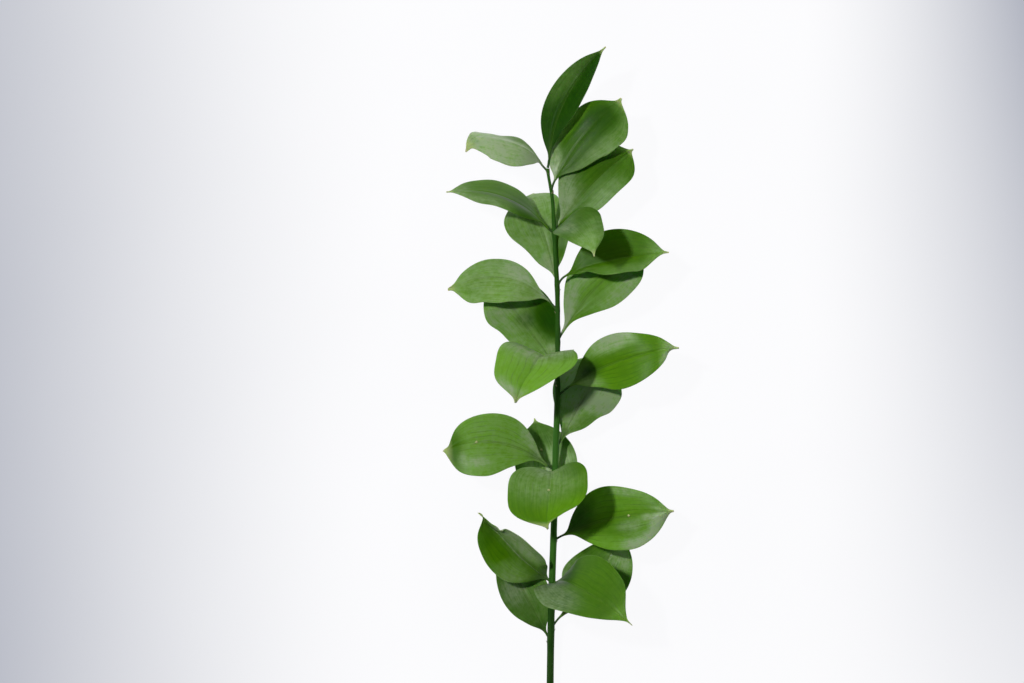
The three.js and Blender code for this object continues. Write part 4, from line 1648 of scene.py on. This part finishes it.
# Soft patches of painted light, shade and sheen on each leaf.
PATCHES: Mapping[int, tuple[Patch, ...]] = {
    1: (Patch(0.52, -0.35, (0.15, 0.55), 0.25, 0.6), Patch(0.03, 0, (0.1, 1.2), -0.3, -0.1)),
    2: (Patch(0.78, 0.4, (0.1, 0.6), 0.4, 0.6), Patch(0.4, -0.8, (0.15, 0.5), 0, 0.3)),
    3: (Patch(0.32, 0.8, (0.25, 0.6), -0.2, 0.38), Patch(0.1, -0.2, (0.17, 1.2), -0.35),
        Patch(0.95, 0.1, (0.15, 1.2), 0.4, 0.12)),
    4: (Patch(0.35, -0.7, (0.17, 0.5), 0.35, 0.35), Patch(0.55, 0.7, (0.32, 0.6), 0.2, 0.6),
        Patch(0.5, 0.03, (0.5, 0.05), 0, 0.7),
        Patch(0.8, -0.4, (0.12, 0.6), -0.2, -0.03), Patch(0.05, 0, (0.1, 1.2), -0.4, 0.1),
        Patch(0.96, -0.3, (0.05, 0.6), 0.4, 0.55), Patch(0.4, 0.45, (0.15, 0.25), 0.6, 0.25),
        Patch(0.72, 0.7, (0.12, 0.5), 0.6, 0.8), Patch(0.5, -0.5, (0.22, 0.3), -0.05, -0.15)),
    5: (Patch(0.12, -0.5, (0.2, 0.8), -0.65), Patch(0.84, 0.5, (0.07, 0.4), 0.25, 1.1),
        Patch(0.68, 0.85, (0.2, 0.22), 0.25, 0.9), Patch(0.6, 0.3, (0.12, 0.2), 0, 0.4),
        Patch(0.6, -0.85, (0.13, 0.16), 0.1, 0.45), Patch(0.95, 0, (0.12, 1.2), 0.25, 0.4),
        Patch(0.28, 0.8, (0.25, 0.4), 0.2, 0.05), Patch(0.4, 0.2, (0.28, 0.45), -0.2, -0.05),
        Patch(0.75, 0.12, (0.05, 0.12), 0.2, 0.6), Patch(0.93, 0.5, (0.06, 0.5), 0.3, 0.4)),
    6: (Patch(0.45, 0.2, (0.3, 1.2), 0.05, 0.27), Patch(0.85, -0.5, (0.15, 0.7), 0.2),
        Patch(0.38, -0.7, (0.15, 0.5), -0.2, -0.15), Patch(0.3, 0.2, (0.12, 0.3), -0.1, 0.2)),
    7: (Patch(0.45, 0.1, (0.2, 0.8), 0.6, 0.45),),
    8: (Patch(0.97, 0, (0.13, 1.5), -0.65, -0.3), Patch(0.2, 0.8, (0.15, 0.5), 0, 0.4),
        Patch(0.72, -0.6, (0.13, 0.13), 0.1, 0.6), Patch(0.86, -0.5, (0.04, 0.25), 0.1, 0.35),
        Patch(0.05, 0, (0.16, 0.8), -0.7), Patch(0.2, 0.85, (0.12, 0.2), 0.5, 0.1)),
    9: (Patch(0.05, -0.2, (0.1, 1), -0.7, -0.5), Patch(0.27, 0.7, (0.17, 0.5), -0.3, -0.4),
        Patch(0.58, 0, (0.22, 1.2), 0.7, 0.6)),
    10: (Patch(0.46, -0.9, (0.18, 0.45), 0.7, 1.0), Patch(0.15, 0.7, (0.13, 0.5), 0.2, 0.3),
         Patch(0.22, -0.1, (0.1, 0.4), -0.35), Patch(0.89, 0.8, (0.08, 0.4), 0.4, 0.8),
         Patch(0.1, -0.4, (0.13, 0.7), -0.4, 0.1), Patch(0.97, 0.1, (0.12, 1.2), 0.8, 0.7)),
    11: (Patch(0.35, 0.1, (0.24, 1.4), -0.1, 0.55), Patch(0.45, -0.6, (0.15, 0.6), -0.4, -0.1),
         Patch(0.95, 0.1, (0.07, 0.8), 0.1, 0.35), Patch(0.9, 0.75, (0.08, 0.4), 0.2, 0.6)),
    12: (Patch(0.38, 0.75, (0.2, 0.6), -0.65, -0.35), Patch(0.55, -0.8, (0.25, 0.5), 0.3, 0.2),
         Patch(0.12, 0.3, (0.08, 0.7), 0.2, 0.4), Patch(0.68, 0, (0.1, 1.2), 0.9, 0.3),
         Patch(0.5, 0.05, (0.1, 0.25), -0.35)),
    13: (Patch(0.14, -0.6, (0.2, 0.5), 0.3, 1.0), Patch(0.6, 0.8, (0.25, 0.5), 0.3, 0.45),
         Patch(0.47, -0.7, (0.18, 0.45), 0.4, 0.45), Patch(0.73, 0.3, (0.09, 0.7), 0.8, 0.3),
         Patch(0.04, -0.3, (0.07, 0.6), 0.5, 0.7)),
    14: (Patch(0.34, 0.5, (0.13, 0.5), 0.5, 0.6), Patch(0.04, 0, (0.06, 1.2), 0.4, 0.6),
         Patch(0.75, -0.2, (0.15, 0.6), -0.2, -0.05)),
    15: (Patch(1, 0.1, (0.2, 1.4), 0.4, 0.25), Patch(0.3, 0.7, (0.2, 0.5), 0.12, 0.1),
         Patch(0.7, 0.9, (0.3, 0.4), 0.1, 0.15), Patch(0.35, -0.4, (0.25, 0.6), -0.12, -0.1)),
    16: (Patch(0.25, 0.6, (0.15, 0.5), -0.4, -0.4), Patch(0.04, -0.3, (0.06, 0.8), 0.3, 0.3),
         Patch(0.08, -0.3, (0.12, 1), 0.25, 0.35), Patch(0.45, 0.1, (0.15, 0.5), -0.2, -0.05)),
    17: (Patch(0.12, -0.7, (0.3, 0.75), 0.3, 0.9), Patch(0.5, 0.8, (0.25, 0.55), 0.2, 0.3),
         Patch(0.8, -0.1, (0.2, 0.3), -0.1), Patch(0.8, -0.6, (0.2, 0.25), 0.6, 0.3)),
    18: (Patch(0.25, -0.3, (0.2, 1.2), -0.35), Patch(0.72, -0.95, (0.3, 0.4), 0.0, 0.4),
         Patch(0.5, -0.3, (0.3, 0.1), -0.25), Patch(0.95, 0.3, (0.15, 1.2), 0.1, 0.35)),
    19: (Patch(1, 0.35, (0.3, 1), 0.55, 0.4), Patch(0.5, 0.5, (0.14, 0.3), -0.08, 0.28),
         Patch(0.7, -0.6, (0.2, 0.6), 0.12, 0.1)),
    20: (Patch(0.08, -0.7, (0.2, 0.6), 0.3, 0.95), Patch(0.55, 0.95, (0.45, 0.45), 0.3, 0.25),
         Patch(0.7, -0.1, (0.22, 0.6), -0.12, -0.03), Patch(0.5, -0.7, (0.2, 0.3), 0.35, 0.05),
         Patch(1, 0, (0.13, 1.2), 0.2, 0.12)),
    21: (Patch(0.35, 0.7, (0.33, 0.5), -0.6, -0.7), Patch(0.2, -0.6, (0.14, 0.5), 0.6, 0.6),
         Patch(0.5, -0.5, (0.12, 0.4), 0, -0.2), Patch(0.8, -0.4, (0.3, 0.6), 0.1, 0.15),
         Patch(0.75, 0.4, (0.15, 0.3), -0.25, -0.3), Patch(0.94, 0.2, (0.05, 0.8), -0.4, -0.1)),
    22: (Patch(0.68, -0.8, (0.28, 0.75), 0.24, 0.12),),
}

LEAF_SLOTS = (Slot.LEAF, Slot.LIGHT_LEAF, Slot.DEEP_LEAF)


class Ruscus:
    """The whole cut stem."""

    def __init__(self) -> None:
        """Makes the finishes and lists the nodes that leaves grow from."""
        self.stem = Stem(nodes=[(leaf.node, leaf.stalk[0]) for leaf in LEAVES])
        self.face = LeafFinish("leaf_face", (0.007, 0.050, 0.0), (0.140, 0.350, 0.003)).material()
        self.back = LeafFinish("leaf_back", (0.025, 0.085, 0.006), (0.085, 0.210, 0.018),
                               roughness=0.5, vein_depth=-0.15).material()
        self.scale = PaperyFinish("bract_scale", (0.27, 0.26, 0.12), (0.10, 0.11, 0.04)).material()
        self.bud = PaperyFinish("flower_bud", (0.62, 0.62, 0.30), (0.32, 0.42, 0.12),
                                0.45).material()
        self.tongue = PaperyFinish("bud_bract", (0.26, 0.40, 0.10), (0.12, 0.26, 0.04),
                                   0.4).material()

    def build(self) -> None:
        """Builds every piece of the plant."""
        self.stem.build(StemFinish().material(), PithFinish().material())
        blank = LeafBlank()
        leaves = []
        for number, shape in enumerate(LEAVES, 1):
            painted_light, painted_sheen = SHADES[number]
            shape = replace(shape, painted_light=painted_light, painted_sheen=painted_sheen, pulls=PULLS.get(number, ()),
                            patches=PATCHES.get(number, ()))
            leaf = Leaf(f"leaf_{number:02d}", shape, self.stem, blank,
                        LEAF_SLOTS[number % len(LEAF_SLOTS)])
            piece = leaf.build(self.face, self.back)
            piece.name = f"ruscus_{leaf.name}"
            leaves.append(leaf)
        bpy.data.objects.remove(blank.piece)
        Bracts(self.stem).build(self.scale)
        Buds(self.stem).build(leaves, self.bud, self.tongue)


# ---- Studio --------------------------------------------------------------------------------------


@dataclass(frozen=True)
class Softbox:
    """A square lamp with an even glow.

    Attributes:
        name: Its name.
        place: Where it stands, in metres.
        aim: What it points at, in metres.
        size: The length of its side, in metres.
        glow: How bright its face is.
        colour: Its tint.
    """

    name: str
    place: tuple[float, float, float]
    aim: tuple[float, float, float]
    size: float
    glow: float
    colour: Colour = (1.0, 1.0, 1.0)

    def build(self) -> None:
        """Sets up the lamp."""
        lamp = bpy.data.lights.new(self.name, "AREA")
        lamp.shape, lamp.size = "SQUARE", self.size
        lamp.energy = self.glow * math.pi * self.size ** 2
        lamp.color = self.colour
        box = bpy.data.objects.new(self.name, lamp)
        bpy.context.collection.objects.link(box)
        box.location = self.place
        back = np.array(self.place) - np.array(self.aim)
        box.rotation_euler = Vector(back).to_track_quat("Z", "Y").to_euler()


@dataclass
class Studio:
    """A pale, softly lit table top with the camera above it.

    Attributes:
        floor_size: Length of the table top's side, in metres.
        floor_drop: How far the table top is below the part's own floor, in metres.
        lens: Focal length of the camera, in millimetres.
        film: Width of its film, in millimetres.
        camera_place: Where the camera hangs, in metres.
        lamps: The lamps.
    """

    floor_size: float = 12.0
    floor_drop: float = 0.0004
    lens: float = 85.0
    film: float = 36.0
    camera_place: tuple[float, float, float] = (-0.03185, 0.05915, 1.6116)
    lamps: tuple[Softbox, ...] = (
        Softbox("key_light", (-0.62, 0.42, 1.55), (0, 0.04, 0.05), 0.1, 532.0),
        Softbox("top_light", (0.35, 1.25, 0.75), (0, 0.05, 0.04), 1.1, 1.8),
        Softbox("side_light", (-1.35, 0.15, 0.45), (0, 0.0, 0.04), 0.7, 0.9),
    )

    FLOOR_CUTS = 5
    CLIP = (0.05, 50)
    PAPER = (0.035, 0.035, 0.035)
    BRIGHT, DULL = (0.95, 0.95, 0.965), (0.40, 0.42, 0.49)  # the paper's glow
    # Where the glow dulls to either side: from none to all along X, and how that changes along Y.
    DULL_LEFT, LEFT_SLOPE, LEFT_LEVEL = (-0.10, -0.50), -0.35, 1.04
    DULL_RIGHT, RIGHT_SLOPE, RIGHT_LEVEL = (0.15, 0.43), 2.6, 1
    MIDDLE = 0.06
    CLOUDS, CLOUD_SCALE = 0.08, 5
    HORIZON, ZENITH, HORIZON_HEIGHT = (0.24, 0.243, 0.25), (0.035, 0.036, 0.04), 0.3

    def build(self) -> None:
        """Sets up the floor, the lamps, the surroundings and the camera."""
        bpy.ops.object.select_all(action="DESELECT")
        bpy.ops.mesh.primitive_plane_add(size=self.floor_size, location=(0, 0, 0))
        floor = Bench.start("pale_table")
        bpy.ops.object.mode_set(mode="EDIT")
        bpy.ops.mesh.subdivide(number_cuts=self.FLOOR_CUTS)
        bpy.ops.transform.translate(value=(0, 0, -self.floor_drop))
        bpy.ops.object.mode_set(mode="OBJECT")
        floor.data.materials.append(self._paper())
        for lamp in self.lamps:
            lamp.build()
        self._surroundings()
        lens = bpy.data.cameras.new("camera")
        lens.lens, lens.sensor_width = self.lens, self.film
        lens.clip_start, lens.clip_end = self.CLIP
        lens.dof.use_dof = False
        camera = bpy.data.objects.new("camera", lens)
        bpy.context.collection.objects.link(camera)
        camera.location = self.camera_place
        bpy.context.scene.camera = camera
        bpy.context.scene.view_settings.view_transform = "Standard"

    def _paper(self) -> bpy.types.Material:
        """The glowing white surface, a little greyer to the sides.

        Returns:
            The material.
        """
        material, kit = new_material("pale_paper")
        here = kit.here()
        parts = kit.parts(here)
        x, y = parts["X"], parts["Y"] - self.MIDDLE
        left = x.step(*self.DULL_LEFT) * (y * self.LEFT_SLOPE + self.LEFT_LEVEL)
        right = x.step(*self.DULL_RIGHT) * (y * self.RIGHT_SLOPE + self.RIGHT_LEVEL)
        clouds = kit.noise(here, self.CLOUD_SCALE, 2) * self.CLOUDS - self.CLOUDS / 2
        shade = (left + right + clouds).at_least(0.0).at_most(1.0)
        kit.surface({
            "Base Color": self.PAPER, "Roughness": 0.9, "Specular IOR Level": 0.0,
            "Emission Color": kit.blend(shade, self.BRIGHT, self.DULL), "Emission Strength": 1.0})
        return material

    def _surroundings(self) -> None:
        """A dim studio, paler towards the horizon."""
        world = bpy.data.worlds.new("studio")
        bpy.context.scene.world = world
        world.use_nodes = True
        kit = NodeKit(world.node_tree)
        height = kit.parts(kit.make("ShaderNodeTexCoord")["Generated"])["Z"]
        glow = kit.blend(height.step(0.0, self.HORIZON_HEIGHT), self.HORIZON, self.ZENITH)
        kit.make("ShaderNodeOutputWorld", inputs={
            "Surface": kit.make("ShaderNodeBackground", inputs={
                "Color": glow, "Strength": 1.0})[0]})


def main() -> None:
    """Builds the ruscus and the studio."""
    logging.basicConfig(level=logging.INFO, format="%(name)s: %(message)s")
    Ruscus().build()
    Studio().build()


if __name__ == "__main__":
    main()
